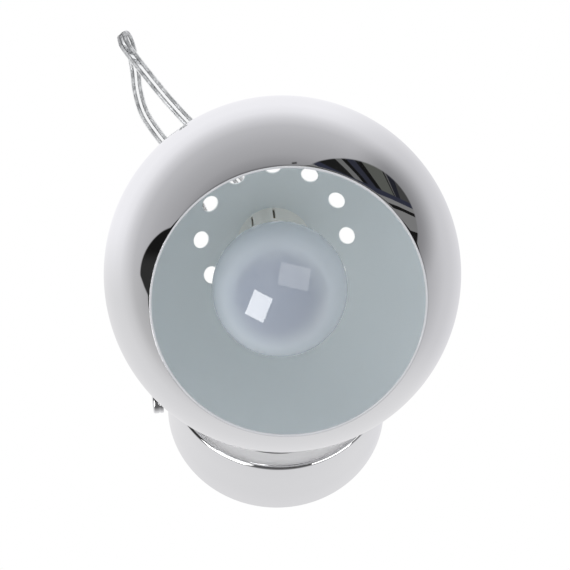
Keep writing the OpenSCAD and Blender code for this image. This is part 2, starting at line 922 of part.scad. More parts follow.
module thread_sleeve() {
    color("gold")
    in_holder()
        rotate_extrude() {
            translate([sleeve_r, insulator_front]) square([sleeve_t, sleeve_front - insulator_front]);
            for (i = [0 : 3])
                translate([sleeve_r + sleeve_t, insulator_front + first_thread + i * thread_pitch]) {
                    intersection() {
                        circle(r = 0.8);
                        translate([-0.25, -1]) square([2, 2]);
                    }
                }
        }
}

// A bent strip from the insulator up to the bulb's contact
module centre_contact() {
    strip_w = 6;
    strip_t = 0.5;
    color("gold")
    in_holder()
        rotate([90, 0, 0])
            translate([0, 0, -strip_w / 2])
                linear_extrude(strip_w)
                    polygon([
                        [6.6, insulator_front],
                        [6.6, insulator_front + strip_t],
                        [3.2, insulator_front + strip_t],
                        [1.2, bulb_end],
                        [-4, bulb_end],
                        [-4.8, bulb_end - 1],
                        [-4.4, bulb_end - 1.4],
                        [-3.7, bulb_end - strip_t],
                        [0.8, bulb_end - strip_t],
                        [2.8, insulator_front]
                    ]);
}

// Half outline of the bulb, drawn in by a given thickness
module bulb_half(inset) {
    neck_r = bulb_neck_r - inset;
    throat_r = screw_cap_in_r - fit_clearance - inset;
    foot_z = screw_cap_front - cap_grip;
    reach = bulb_r / (bulb_r + bulb_hollow_r);
    reach_r = (bulb_neck_r + bulb_hollow_r) * reach;
    reach_z = globe_z - (globe_z - hollow_z) * reach;
    difference() {
        union() {
            translate([0, globe_z]) circle(r = bulb_r - inset);
            translate([0, hollow_z]) square([reach_r, reach_z - hollow_z]);
            polygon([
                [0, foot_z],
                [throat_r, foot_z],
                [throat_r, screw_cap_front],
                [neck_r, screw_cap_front + bulb_shoulder],
                [neck_r, hollow_z],
                [0, hollow_z]
            ]);
        }
        translate([bulb_neck_r + bulb_hollow_r, hollow_z]) circle(r = bulb_hollow_r + inset);
        translate([-bulb_d, bulb_end]) square([bulb_d, 2 * bulb_len]);
    }
}

module bulb_glass() {
    color("aliceblue")
    in_holder()
        rotate_extrude()
            difference() {
                bulb_half(0);
                bulb_half(glass_t);
            }
}

module bulb_screw_cap() {
    root_r = screw_cap_r - 0.9;
    first_ridge = screw_cap_back + 2;
    ridges = floor((screw_cap_front - first_ridge - 3) / thread_pitch);
    color("silver")
    in_holder()
        rotate_extrude() {
            translate([screw_cap_in_r, screw_cap_back])
                square([root_r - screw_cap_in_r, screw_cap_front - screw_cap_back]);
            for (i = [0 : ridges])
                translate([screw_cap_r - 0.9, first_ridge + i * thread_pitch])
                    intersection() {
                        circle(r = 0.9);
                        translate([-0.3, -1]) square([2, 2]);
                    }
            translate([0, screw_cap_back]) square([screw_cap_in_r, cap_end_t]);
        }
}

module bulb_vitrite() {
    color("black")
    in_holder()
        rotate_extrude()
            polygon([
                [0, screw_cap_back],
                [screw_cap_in_r, screw_cap_back],
                [5.4, bulb_end + contact_h],
                [0, bulb_end + contact_h]
            ]);
}

module bulb_contact() {
    color("silver")
    in_holder()
        rotate_extrude()
            polygon([
                [0, bulb_end],
                [3.2, bulb_end],
                [4.6, bulb_end + contact_h],
                [0, bulb_end + contact_h]
            ]);
}

// The glass mount inside the bulb, flared at its foot
module bulb_stem() {
    foot_z = screw_cap_back + cap_end_t;
    flare_r = screw_cap_in_r - 2;
    color("aliceblue")
    in_holder()
        rotate_extrude()
            polygon([
                [0, foot_z],
                [flare_r, foot_z],
                [flare_r, foot_z + 1],
                [4, foot_z + 10],
                [3, stem_top],
                [0, stem_top]
            ]);
}

// A ring of filament on two lead wires
module bulb_filament() {
    ring_r = 9;
    ring_arc = 300;
    ring_wire_r = 0.4;
    lead_wire_r = 0.3;
    lead_foot_r = 2;
    lean = atan((ring_r - lead_foot_r) / (filament_z - stem_top));
    lead_len = (filament_z - stem_top) / cos(lean);
    color("gray")
    in_holder() {
        translate([0, 0, filament_z])
            rotate_extrude(angle = ring_arc)
                translate([ring_r, 0]) circle(r = ring_wire_r);
        for (angle = [5, ring_arc - 5])
            rotate([0, 0, angle])
                translate([lead_foot_r, 0, stem_top])
                    rotate([0, lean, 0])
                        cylinder(r = lead_wire_r, h = lead_len);
    }
}

drum_shell();
front_plate();
wall_plate();
drum_screws();
entry_grommet();
pedestal_stem();
stem_washer();
stem_nut();
pivot_screw();
terminal_block();
block_screw();
terminal_screws();
inner_leads();
switch_body();
switch_bushing();
switch_nut();
switch_spring();
switch_button();
drum_cord_bush();
cord_bush_nut();
flex_cord();
magnet_cup();
ring_magnet();
contact_pad();
shade_shell();
ball_strain_relief();
holder_nipple();
nipple_nut();
lock_washer();
holder_cap();
holder_skirt();
holder_insulator();
holder_screws();
holder_leads();
thread_sleeve();
centre_contact();
bulb_glass();
bulb_screw_cap();
bulb_vitrite();
bulb_contact();
bulb_stem();
bulb_filament();
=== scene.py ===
import json
from math import acos, asin, atan2, copysign, cos, degrees, hypot, pi, radians, sin, sqrt, tan

import bmesh
import bpy
from mathutils import Matrix, Vector


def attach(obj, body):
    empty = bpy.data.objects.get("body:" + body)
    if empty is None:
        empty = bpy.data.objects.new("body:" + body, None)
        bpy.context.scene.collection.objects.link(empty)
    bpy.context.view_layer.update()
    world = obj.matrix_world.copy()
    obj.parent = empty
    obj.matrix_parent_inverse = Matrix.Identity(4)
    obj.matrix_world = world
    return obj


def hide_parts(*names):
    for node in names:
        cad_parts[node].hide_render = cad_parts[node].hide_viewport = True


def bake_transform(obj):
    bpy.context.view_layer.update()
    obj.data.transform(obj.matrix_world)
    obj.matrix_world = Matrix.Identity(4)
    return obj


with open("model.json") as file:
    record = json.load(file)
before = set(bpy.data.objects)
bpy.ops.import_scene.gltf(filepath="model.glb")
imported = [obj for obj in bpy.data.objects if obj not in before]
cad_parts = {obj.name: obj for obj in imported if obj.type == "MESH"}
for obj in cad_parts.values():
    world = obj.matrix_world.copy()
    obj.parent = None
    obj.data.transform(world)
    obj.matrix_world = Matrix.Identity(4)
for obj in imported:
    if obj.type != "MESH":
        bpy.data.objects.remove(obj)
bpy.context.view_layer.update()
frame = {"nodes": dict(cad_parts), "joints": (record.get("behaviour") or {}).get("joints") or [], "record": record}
NODES = frame["nodes"]
JOINTS = {joint["name"]: joint for joint in frame["joints"]}
SLOT_OF = {part["node"]: part["material_slot"] for part in frame["record"]["subparts"]}

# Sizes are in millimetres and angles in degrees, unless a line says otherwise
MM = 0.001
BALL_CENTRE = Vector(JOINTS["head_tilt"]["pos_m"]) / MM
TILT_AXIS = JOINTS["head_tilt"]["axis"]
HEAD_TURN = degrees(atan2(TILT_AXIS[2], TILT_AXIS[0]))
HEAD_TILT = 39.0
HOLDER_LEAN = 1.4
BALL_R = 80.0
SHADE_WALL = 1.1
OPENING_OFFSET = 52.0
SWITCH_ANGLE = 187.0
CORD_BUSH_ANGLE = 108.0
SIDE_FITTING_W = 24.0


def turn(angle, axis):
    return Matrix.Rotation(radians(angle), 4, axis)


def move(x, y, z):
    return Matrix.Translation((x, y, z))


# Places: the drum's frame has z away from the wall, the head's has z along the light
WALL = turn(90, "X")
HEAD = Matrix.Translation(BALL_CENTRE) @ WALL @ turn(HEAD_TURN, "Z") @ turn(HEAD_TILT, "X")
HOLDER = HEAD @ move(0, 0, -BALL_R) @ turn(-HOLDER_LEAN, "Y") @ move(0, 0, BALL_R)


def on_side(angle):
    """A radial place on the drum's side, with z out from the drum's axis."""
    return WALL @ move(0, 0, SIDE_FITTING_W) @ turn(angle, "Z") @ turn(90, "Y")


def span(node, place):
    """Lowest z, highest z and greatest radius of a CAD node in one of the places."""
    inverse = place.inverted()
    points = [inverse @ (vertex.co / MM) for vertex in NODES[node].data.vertices]
    heights = [point.z for point in points]
    return min(heights), max(heights), max(hypot(point.x, point.y) for point in points)


def new_object(name, data):
    item = bpy.data.objects.new(name, data)
    bpy.context.scene.collection.objects.link(item)
    return item


# The camera, where the photograph's camera stood
VIEW_AZIMUTH = 1.23
VIEW_ELEVATION = 25.07
VIEW_DISTANCE = 1791.7
VIEW_RIGHT_SHIFT = 1.142
VIEW_UP_SHIFT = -4.88
FOCAL_PIXELS = 4000.0
PICTURE_PIXELS = 570.0
SENSOR = 36.0
CLIP_START, CLIP_END = 0.05, 50.0

azimuth = radians(VIEW_AZIMUTH)
elevation = radians(VIEW_ELEVATION)
VIEW_FORWARD = Vector((sin(azimuth) * cos(elevation), cos(azimuth) * cos(elevation), sin(elevation)))
VIEW_RIGHT = Vector((cos(azimuth), -sin(azimuth), 0.0))
VIEW_UP = VIEW_RIGHT.cross(VIEW_FORWARD)


def add_camera():
    """The camera of the photograph. Its own matrix is in metres."""
    data = bpy.data.cameras.new("photo_camera")
    data.sensor_width = SENSOR
    data.lens = FOCAL_PIXELS / PICTURE_PIXELS * SENSOR
    data.clip_start, data.clip_end = CLIP_START, CLIP_END
    camera = new_object("photo_camera", data)
    position = BALL_CENTRE - VIEW_FORWARD * VIEW_DISTANCE
    position += VIEW_RIGHT * VIEW_RIGHT_SHIFT + VIEW_UP * VIEW_UP_SHIFT
    rotation = Matrix((VIEW_RIGHT, VIEW_UP, -VIEW_FORWARD)).transposed().to_4x4()
    camera.matrix_world = Matrix.Translation(position * MM) @ rotation
    bpy.context.scene.camera = camera


# Objects and meshes
SHARP_ANGLE = 32.0
WELD = 0.0005
SMALLEST_EDGE = 1e-7


def add_mesh(name, points, faces, place, kinds=None, weld=WELD):
    """One object from points in millimetres, welded, with outward normals and smooth shading."""
    mesh = bpy.data.meshes.new(name)
    mesh.from_pydata([(place @ Vector(point)) * MM for point in points], [], faces)
    if kinds:
        mesh.polygons.foreach_set("material_index", kinds)
    body = bmesh.new()
    body.from_mesh(mesh)
    bmesh.ops.remove_doubles(body, verts=body.verts, dist=weld * MM)
    bmesh.ops.recalc_face_normals(body, faces=body.faces)
    body.to_mesh(mesh)
    body.free()
    mesh.polygons.foreach_set("use_smooth", [True] * len(mesh.polygons))
    mesh.set_sharp_from_angle(angle=radians(SHARP_ANGLE))
    return new_object(name, mesh)


def polar(radius, angle, z):
    """A point from its radius, its angle in radians and its height."""
    return radius * cos(angle), radius * sin(angle), z


def arc(centre, radius, start, end, steps):
    """Points (r, z) along an arc, both ends included, angles in degrees."""
    angles = [radians(start + (end - start) * i / steps) for i in range(steps + 1)]
    return [(centre[0] + radius * cos(angle), centre[1] + radius * sin(angle)) for angle in angles]


def rounded(corners, steps=5):
    """A closed outline from corners (r, z, rounding radius)."""
    outline = []
    count = len(corners)
    for i, (r, z, rounding) in enumerate(corners):
        here = Vector((r, z))
        if rounding <= 0:
            outline.append((r, z))
            continue
        before = (Vector(corners[i - 1][:2]) - here).normalized()
        after = (Vector(corners[(i + 1) % count][:2]) - here).normalized()
        half = before.angle(after) / 2
        centre = here + (before + after).normalized() * rounding / sin(half)
        first = here + before * rounding / tan(half) - centre
        last = here + after * rounding / tan(half) - centre
        swing = first.angle_signed(last)
        for k in range(steps + 1):
            spoke = Matrix.Rotation(-swing * k / steps, 2) @ first
            outline.append(tuple(centre + spoke))
    return outline


def ring_faces(rings, size, closed):
    """Quads between successive rings of points, and from the last to the first if closed."""
    faces = []
    for i in range(rings if closed else rings - 1):
        low, high = i * size, (i + 1) % rings * size
        for k in range(size):
            following = (k + 1) % size
            faces.append((low + k, low + following, high + following, high + k))
    return faces


def revolve(name, outline, place, steps=128, closed=True, kinds_of=None):
    """A body of revolution about z. Points on the axis are welded, and flat faces there dissolved."""
    points = []
    for r, z in outline:
        points += [polar(r, 2 * pi * k / steps, z) for k in range(steps)]
    faces = ring_faces(len(outline), steps, closed)
    kinds = [kinds_of(face // steps) for face in range(len(faces))] if kinds_of else None
    piece = add_mesh(name, points, faces, place, kinds)
    body = bmesh.new()
    body.from_mesh(piece.data)
    bmesh.ops.dissolve_degenerate(body, dist=SMALLEST_EDGE, edges=body.edges)
    body.to_mesh(piece.data)
    body.free()
    return piece


def joined(parts):
    """One list each of points, faces and kinds from several parts."""
    points, faces, kinds = [], [], []
    for part_points, part_faces, part_kinds in parts:
        faces += [tuple(len(points) + k for k in face) for face in part_faces]
        kinds += part_kinds
        points += part_points
    return points, faces, kinds


# Node graphs
EDGE = 0.004


class Wires:
    """Adds and joins the nodes of one node tree."""

    def __init__(self, tree):
        self.tree = tree
        tree.nodes.clear()

    def add(self, kind, inputs=(), **settings):
        """A new node, its inputs fed by their names or numbers, or else in order."""
        node = self.tree.nodes.new(kind)
        for key, value in settings.items():
            setattr(node, key, value)
        for key, value in inputs.items() if isinstance(inputs, dict) else enumerate(inputs):
            self.feed(node.inputs[key], value)
        return node

    def feed(self, socket, value):
        if isinstance(value, bpy.types.NodeSocket):
            self.tree.links.new(value, socket)
        else:
            socket.default_value = rgba(value) if socket.type == "RGBA" else value

    def math(self, operation, *values):
        return self.add("ShaderNodeMath", values, operation=operation).outputs[0]

    def vector(self, operation, *values):
        outputs = self.add("ShaderNodeVectorMath", values, operation=operation).outputs
        return outputs["Value" if operation == "DOT_PRODUCT" else "Vector"]

    def mix(self, factor, a, b, blend="MIX"):
        inputs = {0: factor, 6: a, 7: b}
        return self.add("ShaderNodeMix", inputs, data_type="RGBA", blend_type=blend).outputs[2]

    def step(self, value, low, high, to_low=0.0, to_high=1.0, linear=False):
        """A smooth step of value from low to high, or a straight one."""
        inputs = (value, low, high, to_low, to_high)
        kind = "LINEAR" if linear else "SMOOTHSTEP"
        return self.add("ShaderNodeMapRange", inputs, interpolation_type=kind).outputs[0]

    def within(self, distance, reach):
        """1 where a distance is below a reach, and 0 beyond it, with a narrow soft edge."""
        return self.step(distance, reach - EDGE, reach + EDGE, 1.0, 0.0)

    def ramp(self, value, stops, interpolation="LINEAR"):
        """A colour ramp from stops (place, colour)."""
        node = self.add("ShaderNodeValToRGB", {"Fac": value})
        node.color_ramp.interpolation = interpolation
        elements = node.color_ramp.elements
        elements[1].position, elements[1].color = stops[-1][0], rgba(stops[-1][1])
        elements[0].position, elements[0].color = stops[0][0], rgba(stops[0][1])
        for place, colour in stops[1:-1]:
            elements.new(place).color = rgba(colour)
        return node.outputs["Color"]

    def noise(self, scale, detail=3.0, vector=None, roughness=0.5):
        inputs = {"Scale": scale, "Detail": detail, "Roughness": roughness}
        inputs["Vector"] = vector or self.position()
        return self.add("ShaderNodeTexNoise", inputs, noise_dimensions="3D").outputs["Fac"]

    def weighted(self, x, x_share, y, y_share):
        """The sum of two values, each times its share."""
        return self.math("ADD", self.math("MULTIPLY", x, x_share), self.math("MULTIPLY", y, y_share))

    def distance(self, x, y, centre=(0.0, 0.0)):
        """How far a place (x, y) is from another."""
        dx = self.math("SUBTRACT", x, centre[0])
        dy = self.math("SUBTRACT", y, centre[1])
        squares = self.math("ADD", self.math("MULTIPLY", dx, dx), self.math("MULTIPLY", dy, dy))
        return self.math("SQRT", squares)

    def position(self):
        return self.add("ShaderNodeTexCoord").outputs["Object"]


def rgba(colour):
    """A colour from a grey, three numbers or four."""
    if isinstance(colour, (int, float)):
        return (colour, colour, colour, 1.0)
    return tuple(colour) + (1.0,) * (4 - len(colour))


class Finish(Wires):
    """A material with a Principled shader, and the wires that feed it."""

    def __init__(self, name, **uniform):
        self.material = bpy.data.materials.new(name)
        self.material.use_nodes = True
        super().__init__(self.material.node_tree)
        shader = self.add("ShaderNodeBsdfPrincipled")
        output = self.add("ShaderNodeOutputMaterial")
        self.feed(output.inputs["Surface"], shader.outputs["BSDF"])
        self.inputs = shader.inputs
        for key, value in uniform.items():
            self.inputs[key.replace("_", " ")].default_value = value

    def paint(self, factor, low, high):
        self.feed(self.inputs["Base Color"], self.mix(factor, low, high))

    def dull(self, factor, low, high, start=0.3, end=0.7):
        """Roughness from low to high as the factor goes from start to end."""
        self.feed(self.inputs["Roughness"], self.step(factor, start, end, low, high))

    def relief(self, height, depth):
        """Bumps of a depth in millimetres."""
        bump = self.add("ShaderNodeBump", {"Height": height, "Distance": depth * MM, "Strength": 1.0})
        self.feed(self.inputs["Normal"], bump.outputs["Normal"])


def plain_finish(name, low, high, roughness, metallic, patch_scale, grain_scale, grain_depth, haze=0.08):
    """A finish whose colour and gloss vary in soft patches over a fine grain."""
    finish = Finish(name, Metallic=metallic)
    patches = finish.noise(patch_scale, 4.0)
    finish.paint(patches, low, high)
    finish.dull(patches, roughness - haze / 2, roughness + haze / 2)
    finish.relief(finish.noise(grain_scale, 2.0), grain_depth)
    return finish.material


# Materials
def chrome():
    """Bright chrome with a breath of haze and the slight waviness of spun sheet."""
    finish = Finish("bright_chrome", Metallic=1.0)
    haze = finish.noise(35.0, 5.0)
    smears = finish.math("MULTIPLY", haze, finish.noise(400.0, 3.0))
    finish.paint(haze, (0.86, 0.865, 0.875), (0.89, 0.89, 0.895))
    finish.dull(smears, 0.015, 0.045, 0.15, 0.45)
    finish.relief(finish.noise(9.0, 1.0), 0.05)
    return finish.material


def lacquer():
    """White baked lacquer with a faint orange peel."""
    finish = Finish("white_lacquer")
    clouds = finish.noise(22.0, 3.0)
    finish.paint(clouds, (0.876, 0.912, 0.928), (0.89, 0.926, 0.942))
    finish.dull(clouds, 0.42, 0.5)
    finish.relief(finish.noise(700.0, 2.0), 0.012)
    return finish.material


def satin_nickel():
    """Satin nickel with fine turned lines round the drum's axis."""
    finish = Finish("satin_nickel", Metallic=0.2)
    split = finish.add("ShaderNodeSeparateXYZ", {"Vector": finish.position()}).outputs
    radius = finish.distance(split["X"], split["Z"])
    line = finish.add("ShaderNodeCombineXYZ", {"X": finish.math("MULTIPLY", radius, 40.0)})
    lines = finish.noise(90.0, 3.0, line.outputs["Vector"], 0.7)
    finish.paint(lines, (0.86, 0.86, 0.87), (0.91, 0.91, 0.92))
    finish.dull(finish.noise(50.0, 3.0), 0.40, 0.48)
    finish.relief(lines, 0.01)
    return finish.material


# Painted shade and reflection: the bulb's colour darkens toward the globe's tip, round an axis a little off the
# bulb's own, where the globe mirrors the dark room through the shade's opening
BULB_TIP = HOLDER @ Vector((0, 0, span("bulb_glass", HOLDER)[1]))
BULB_AXIS = (HOLDER.to_3x3() @ Vector((-0.10, 0.09, 1))).normalized()


def frosted_glass():
    """Bulb glass, white inside and shiny outside."""
    finish = Finish(
        "frosted_glass", Subsurface_Weight=1.0, Subsurface_Radius=(1.0, 1.0, 1.0), Subsurface_Scale=0.03,
        Coat_Weight=1.0, Coat_Roughness=0.02, Coat_IOR=1.9)
    frost = finish.noise(45.0, 4.0)
    offset = finish.vector("SUBTRACT", finish.position(), tuple(BULB_TIP * MM))
    height = finish.math("DIVIDE", finish.vector("DOT_PRODUCT", offset, tuple(BULB_AXIS)), MM)
    # Painted shade at the tip, and painted reflection of the lit shade round it
    shaded_tip = finish.mix(frost, (0.32, 0.355, 0.415), (0.33, 0.365, 0.43))
    lit_ring = finish.mix(frost, (0.455, 0.50, 0.545), (0.47, 0.51, 0.56))
    finish.feed(finish.inputs["Base Color"], finish.mix(finish.step(height, -11.5, -2.5), lit_ring, shaded_tip))
    finish.dull(frost, 0.55, 0.65)
    finish.relief(finish.noise(30.0, 1.0), 0.02)
    return finish.material


def clear_glass():
    """Clear glass of the bulb's inner stem."""
    finish = Finish("clear_glass", Transmission_Weight=1.0, IOR=1.5)
    streaks = finish.noise(120.0, 2.0)
    finish.paint(streaks, 0.93, 0.98)
    finish.dull(streaks, 0.02, 0.06)
    finish.relief(streaks, 0.02)
    return finish.material


def clear_sheath():
    """Clear soft plastic of the flex, with a slight ripple."""
    finish = Finish("clear_flex", Transmission_Weight=1.0, IOR=1.28)
    ripple = finish.noise(90.0, 2.0)
    finish.paint(ripple, (0.93, 0.94, 0.95), (0.97, 0.975, 0.98))
    finish.dull(ripple, 0.03, 0.09)
    finish.relief(ripple, 0.04)
    return finish.material


def tinned_strands():
    """Fine tinned copper wires laid up in a slow twist."""
    finish = Finish("tinned_strands", Metallic=1.0)
    strands = finish.noise(1400.0, 3.0)
    lengths = finish.step(finish.noise(260.0, 2.0), 0.35, 0.65, 0.6, 1.5)
    finish.paint(finish.math("MULTIPLY", strands, lengths), (0.16, 0.165, 0.17), (0.80, 0.805, 0.815))
    finish.dull(strands, 0.22, 0.4)
    finish.relief(strands, 0.05)
    return finish.material


# For each slot or lone material two colours, roughness and metallic, then the scales of patches
# and grain, the grain's depth and, where it isn't the usual one, how far the roughness varies
PLAIN_FINISHES = {
    "plated_steel": ((0.60, 0.61, 0.62), (0.72, 0.72, 0.71), 0.34, 1.0, 140.0, 1800.0, 0.015, 0.14),
    "holder_metal": ((0.80, 0.77, 0.71), (0.87, 0.84, 0.78), 0.34, 0.35, 80.0, 1400.0, 0.01),
    "brass": ((0.72, 0.54, 0.27), (0.82, 0.64, 0.36), 0.27, 1.0, 120.0, 1500.0, 0.01, 0.12),
    "black_plastic": ((0.016, 0.016, 0.018), (0.028, 0.028, 0.03), 0.42, 0.0, 70.0, 2200.0, 0.03),
    "cap_glass": ((0.01, 0.01, 0.012), (0.02, 0.02, 0.024), 0.12, 0.0, 90.0, 900.0, 0.004),
    "white_plastic": ((0.76, 0.75, 0.72), (0.82, 0.81, 0.78), 0.4, 0.0, 60.0, 1600.0, 0.02),
    "porcelain": ((0.80, 0.78, 0.73), (0.86, 0.85, 0.81), 0.14, 0.0, 90.0, 500.0, 0.01),
    "rubber": ((0.02, 0.02, 0.02), (0.045, 0.045, 0.045), 0.75, 0.0, 90.0, 2400.0, 0.05),
    "ferrite": ((0.05, 0.052, 0.056), (0.09, 0.09, 0.095), 0.55, 0.3, 160.0, 2600.0, 0.04),
    "spring_steel": ((0.36, 0.36, 0.37), (0.5, 0.5, 0.51), 0.3, 1.0, 200.0, 2500.0, 0.005),
    "core_insulation": ((0.74, 0.74, 0.71), (0.82, 0.82, 0.8), 0.45, 0.0, 70.0, 1800.0, 0.015),
    "cap_metal": ((0.66, 0.66, 0.66), (0.78, 0.78, 0.77), 0.25, 1.0, 130.0, 1500.0, 0.01, 0.12),
    # Painted shade: the rim's flat, a darker grey copy of the lacquer that stands in for less light on it
    "rim_shaded_lacquer": ((0.48, 0.49, 0.51), (0.56, 0.57, 0.60), 0.4, 0.0, 60.0, 900.0, 0.02),
    # Painted shade: a black band at the foot of the plate's pressed step, where the shade under the ball falls
    "step_painted_shade": ((0.012, 0.012, 0.015), (0.022, 0.022, 0.026), 0.4, 0.0, 80.0, 1200.0, 0.01),
    "pale_floor": ((0.84, 0.84, 0.84), (0.88, 0.88, 0.88), 0.8, 0.0, 2.0, 60.0, 0.2),
}
FINISH_NAMES = {"plated_steel": "zinc_plate", "brass": "turned_brass", "cap_glass": "black_glass"}
MATERIALS = {
    "chromed_steel": chrome(),
    "grey_steel": satin_nickel(),
    "clear_flex": clear_sheath(),
    "frosted_glass": frosted_glass(),
    "clear_glass": clear_glass(),
    "white_lacquer": lacquer(),
    "tinned_strands": tinned_strands(),
}
for key, values in PLAIN_FINISHES.items():
    MATERIALS[key] = plain_finish(FINISH_NAMES.get(key, key), *values)


def dress_cad_nodes():
    """Gives each CAD node that still shows its own procedural material."""
    for name, piece in NODES.items():
        piece.data.materials.clear()
        piece.data.materials.append(MATERIALS[SLOT_OF[name]])


def finish_piece(piece, body, node, *others):
    """A modelled piece rides on a body and stands for a CAD node, in its material and others."""
    slot = SLOT_OF[node]
    for key in (slot, *others):
        piece.data.materials.append(MATERIALS[key])
    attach(piece, body)
    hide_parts(node)


# The flex
LOBE_R = 1.35
WEB_HALF = 0.55
STRAND_R = 0.74
STRAND_LOBES = 7
STRAND_LOBE_DEPTH = 0.07
STRAND_PITCH = 16.0
FLEX_STEP = 1.3
CURVE_STEPS = 12
SHEATH_POINTS = 28
STRAND_POINTS = 28
SHEATH, STRAND = 0, 1
FLEX_ACROSS = Vector((0.744, -0.296, 0.598))
FLEX_STRAIGHT = 2.5
BUSH_STRAIGHT = 6.0
HEAD_LEG = [
    (-8.5, -70, 73), (-14.5, -69.5, 81), (-21, -68.5, 90.3), (-28.6, -68.3, 100.5),
    (-36.5, -69.5, 110.5), (-45.5, -72, 119.5), (-54.5, -75, 129), (-62.5, -76.5, 139),
    (-69.5, -76, 149), (-74.5, -72.5, 158.5),
]
LOOP_TOP = (-76, -65.5, 167)
DRUM_LEG = [
    (-74.5, -56.5, 172), (-72, -46.5, 170.5), (-70, -39, 163), (-68.5, -35, 152.5),
    (-65, -33, 141.5), (-58.5, -32.5, 131), (-51.5, -33, 121), (-46, -32.5, 110.5),
    (-41, -31.5, 100), (-35.8, -29.6, 89.3), (-29.5, -27, 79),
]


def along(route, step):
    """Evenly spaced points on a smooth curve through the route's points."""
    dense = []
    for i in range(len(route) - 1):
        before = route[max(i - 1, 0)]
        start, end = route[i], route[i + 1]
        after = route[min(i + 2, len(route) - 1)]
        for k in range(CURVE_STEPS):
            t = k / CURVE_STEPS
            dense.append(0.5 * (
                2 * start + (end - before) * t
                + (2 * before - 5 * start + 4 * end - after) * t * t
                + (3 * start - before - 3 * end + after) * t ** 3
            ))
    dense.append(route[-1])
    total = sum((b - a).length for a, b in zip(dense, dense[1:]))
    count = round(total / step)
    spaced, walked, target = [dense[0]], 0.0, total / count
    for a, b in zip(dense, dense[1:]):
        length = (b - a).length
        while walked + length >= target * len(spaced) and len(spaced) < count:
            spaced.append(a.lerp(b, (target * len(spaced) - walked) / length))
        walked += length
    spaced.append(dense[-1])
    return spaced


def section_axes(path):
    """For each point of a path, its across and thickness directions."""
    axes = []
    for i in range(len(path)):
        tangent = (path[min(i + 1, len(path) - 1)] - path[max(i - 1, 0)]).normalized()
        across = (FLEX_ACROSS - FLEX_ACROSS.dot(tangent) * tangent).normalized()
        axes.append((across, tangent.cross(across)))
    return axes


def sheath_section():
    """Outline of the twin sheath: two round lobes and the web between them."""
    points = []
    for k in range(SHEATH_POINTS):
        angle = 2 * pi * k / SHEATH_POINTS
        side = 1 if cos(angle) >= 0 else -1
        x = LOBE_R * side + LOBE_R * cos(angle)
        lobe = sqrt(max(LOBE_R ** 2 - (abs(x) - LOBE_R) ** 2, 0.0))
        y = max(lobe, WEB_HALF if abs(x) < LOBE_R else 0.0)
        on_middle_line = abs(sin(angle)) <= 1e-9
        points.append((x, 0.0 if on_middle_line else copysign(y, sin(angle))))
    return points


def tube_between(rings):
    """Faces of a tube with closed ends, through rings of points."""
    size = len(rings[0])
    faces = ring_faces(len(rings), size, False)
    last = (len(rings) - 1) * size
    faces.append(tuple(range(size)))
    faces.append(tuple(last + k for k in range(size)))
    return [point for ring in rings for point in ring], faces


def strand_ring(centre, axes, side, walked):
    """One ring of a strand bundle, lobed and turned a little further at each step."""
    middle = centre + axes[0] * side * LOBE_R
    twist = 2 * pi * walked / STRAND_PITCH
    ring = []
    for k in range(STRAND_POINTS):
        angle = 2 * pi * k / STRAND_POINTS
        lobes = cos(STRAND_LOBES * (angle - twist))
        radius = STRAND_R * (1 + STRAND_LOBE_DEPTH * lobes)
        ring.append(middle + radius * (cos(angle) * axes[0] + sin(angle) * axes[1]))
    return ring


def flex_leg(name, route):
    """One leg of the flex: a clear sheath round two bundles of strands."""
    path = along([Vector(point) for point in route], FLEX_STEP)
    axes = section_axes(path)
    section = sheath_section()
    tubes = [[
        [centre + across * x + lit_ring * y for x, y in section]
        for centre, (across, lit_ring) in zip(path, axes)
    ]]
    for side in (-1, 1):
        tubes.append([
            strand_ring(centre, pair, side, i * FLEX_STEP)
            for i, (centre, pair) in enumerate(zip(path, axes))
        ])
    parts = []
    for kind, rings in zip((SHEATH, STRAND, STRAND), tubes):
        points, faces = tube_between(rings)
        parts.append((points, faces, [kind] * len(faces)))
    points, faces, kinds = joined(parts)
    leg = add_mesh(name, points, faces, Matrix.Identity(4), kinds)
    leg.data.materials.append(MATERIALS["clear_flex"])
    leg.data.materials.append(MATERIALS["tinned_strands"])
    return leg, path


def add_flex():
    """The flex in two legs that meet at the top of its loop."""
    relief_end = span("ball_strain_relief", HOLDER)[0]
    bush_place = on_side(CORD_BUSH_ANGLE)
    bush_tip = span("drum_cord_bush", bush_place)[1]
    head_exit = HOLDER @ Vector((0, 0, relief_end))
    drum_exit = bush_place @ Vector((0, 0, bush_tip))
    head_route = [head_exit, HOLDER @ Vector((0, 0, relief_end - FLEX_STRAIGHT)), *HEAD_LEG, LOOP_TOP]
    drum_route = [drum_exit, bush_place @ Vector((0, 0, bush_tip + BUSH_STRAIGHT))]
    drum_route += [*reversed(DRUM_LEG), LOOP_TOP]
    legs = (
        ("flex_head_leg", head_route, head_exit, ("magnet_carrier", "head")),
        ("flex_drum_leg", drum_route, drum_exit, ("base", "magnet_carrier")),
    )
    for name, route, exit_point, bodies in legs:
        leg, path = flex_leg(name, route)
        top, end = Vector(LOOP_TOP) * MM, exit_point * MM
        start, stop = (top, end) if bodies[1] == "head" else (end, top)
        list(bodies)
        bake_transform(leg)
        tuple(start)
        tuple(stop)
        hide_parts("flex_cord")
        length = sum((b - a).length for a, b in zip(path, path[1:]))
        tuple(end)
        [point * MM for point in path]


# The ball shade
VENT_COUNT = 12
VENT_R = 4.0
VENT_RING = 25.4
VENT_TURN = -1.0
VENT_PATCH = 7.0
POLE_HOLE_R = 5.1
HOLE_EDGE = 0.22
RIM_ROUNDING = 0.35
RIM_START = OPENING_OFFSET - 0.8
AROUND = 192
SHADE_BANDS, POLE_BANDS, VENT_BANDS = 48, 8, 6
SHADE_WELD = 0.002
CHROMED, LACQUERED, SHADED_RIM = 0, 1, 2


def on_ball(radius, from_pole, around):
    """A point on a sphere, with angles in degrees from the back pole and round the light's axis."""
    lean = radians(from_pole)
    return Vector(polar(radius * sin(lean), radians(around), -radius * cos(lean)))


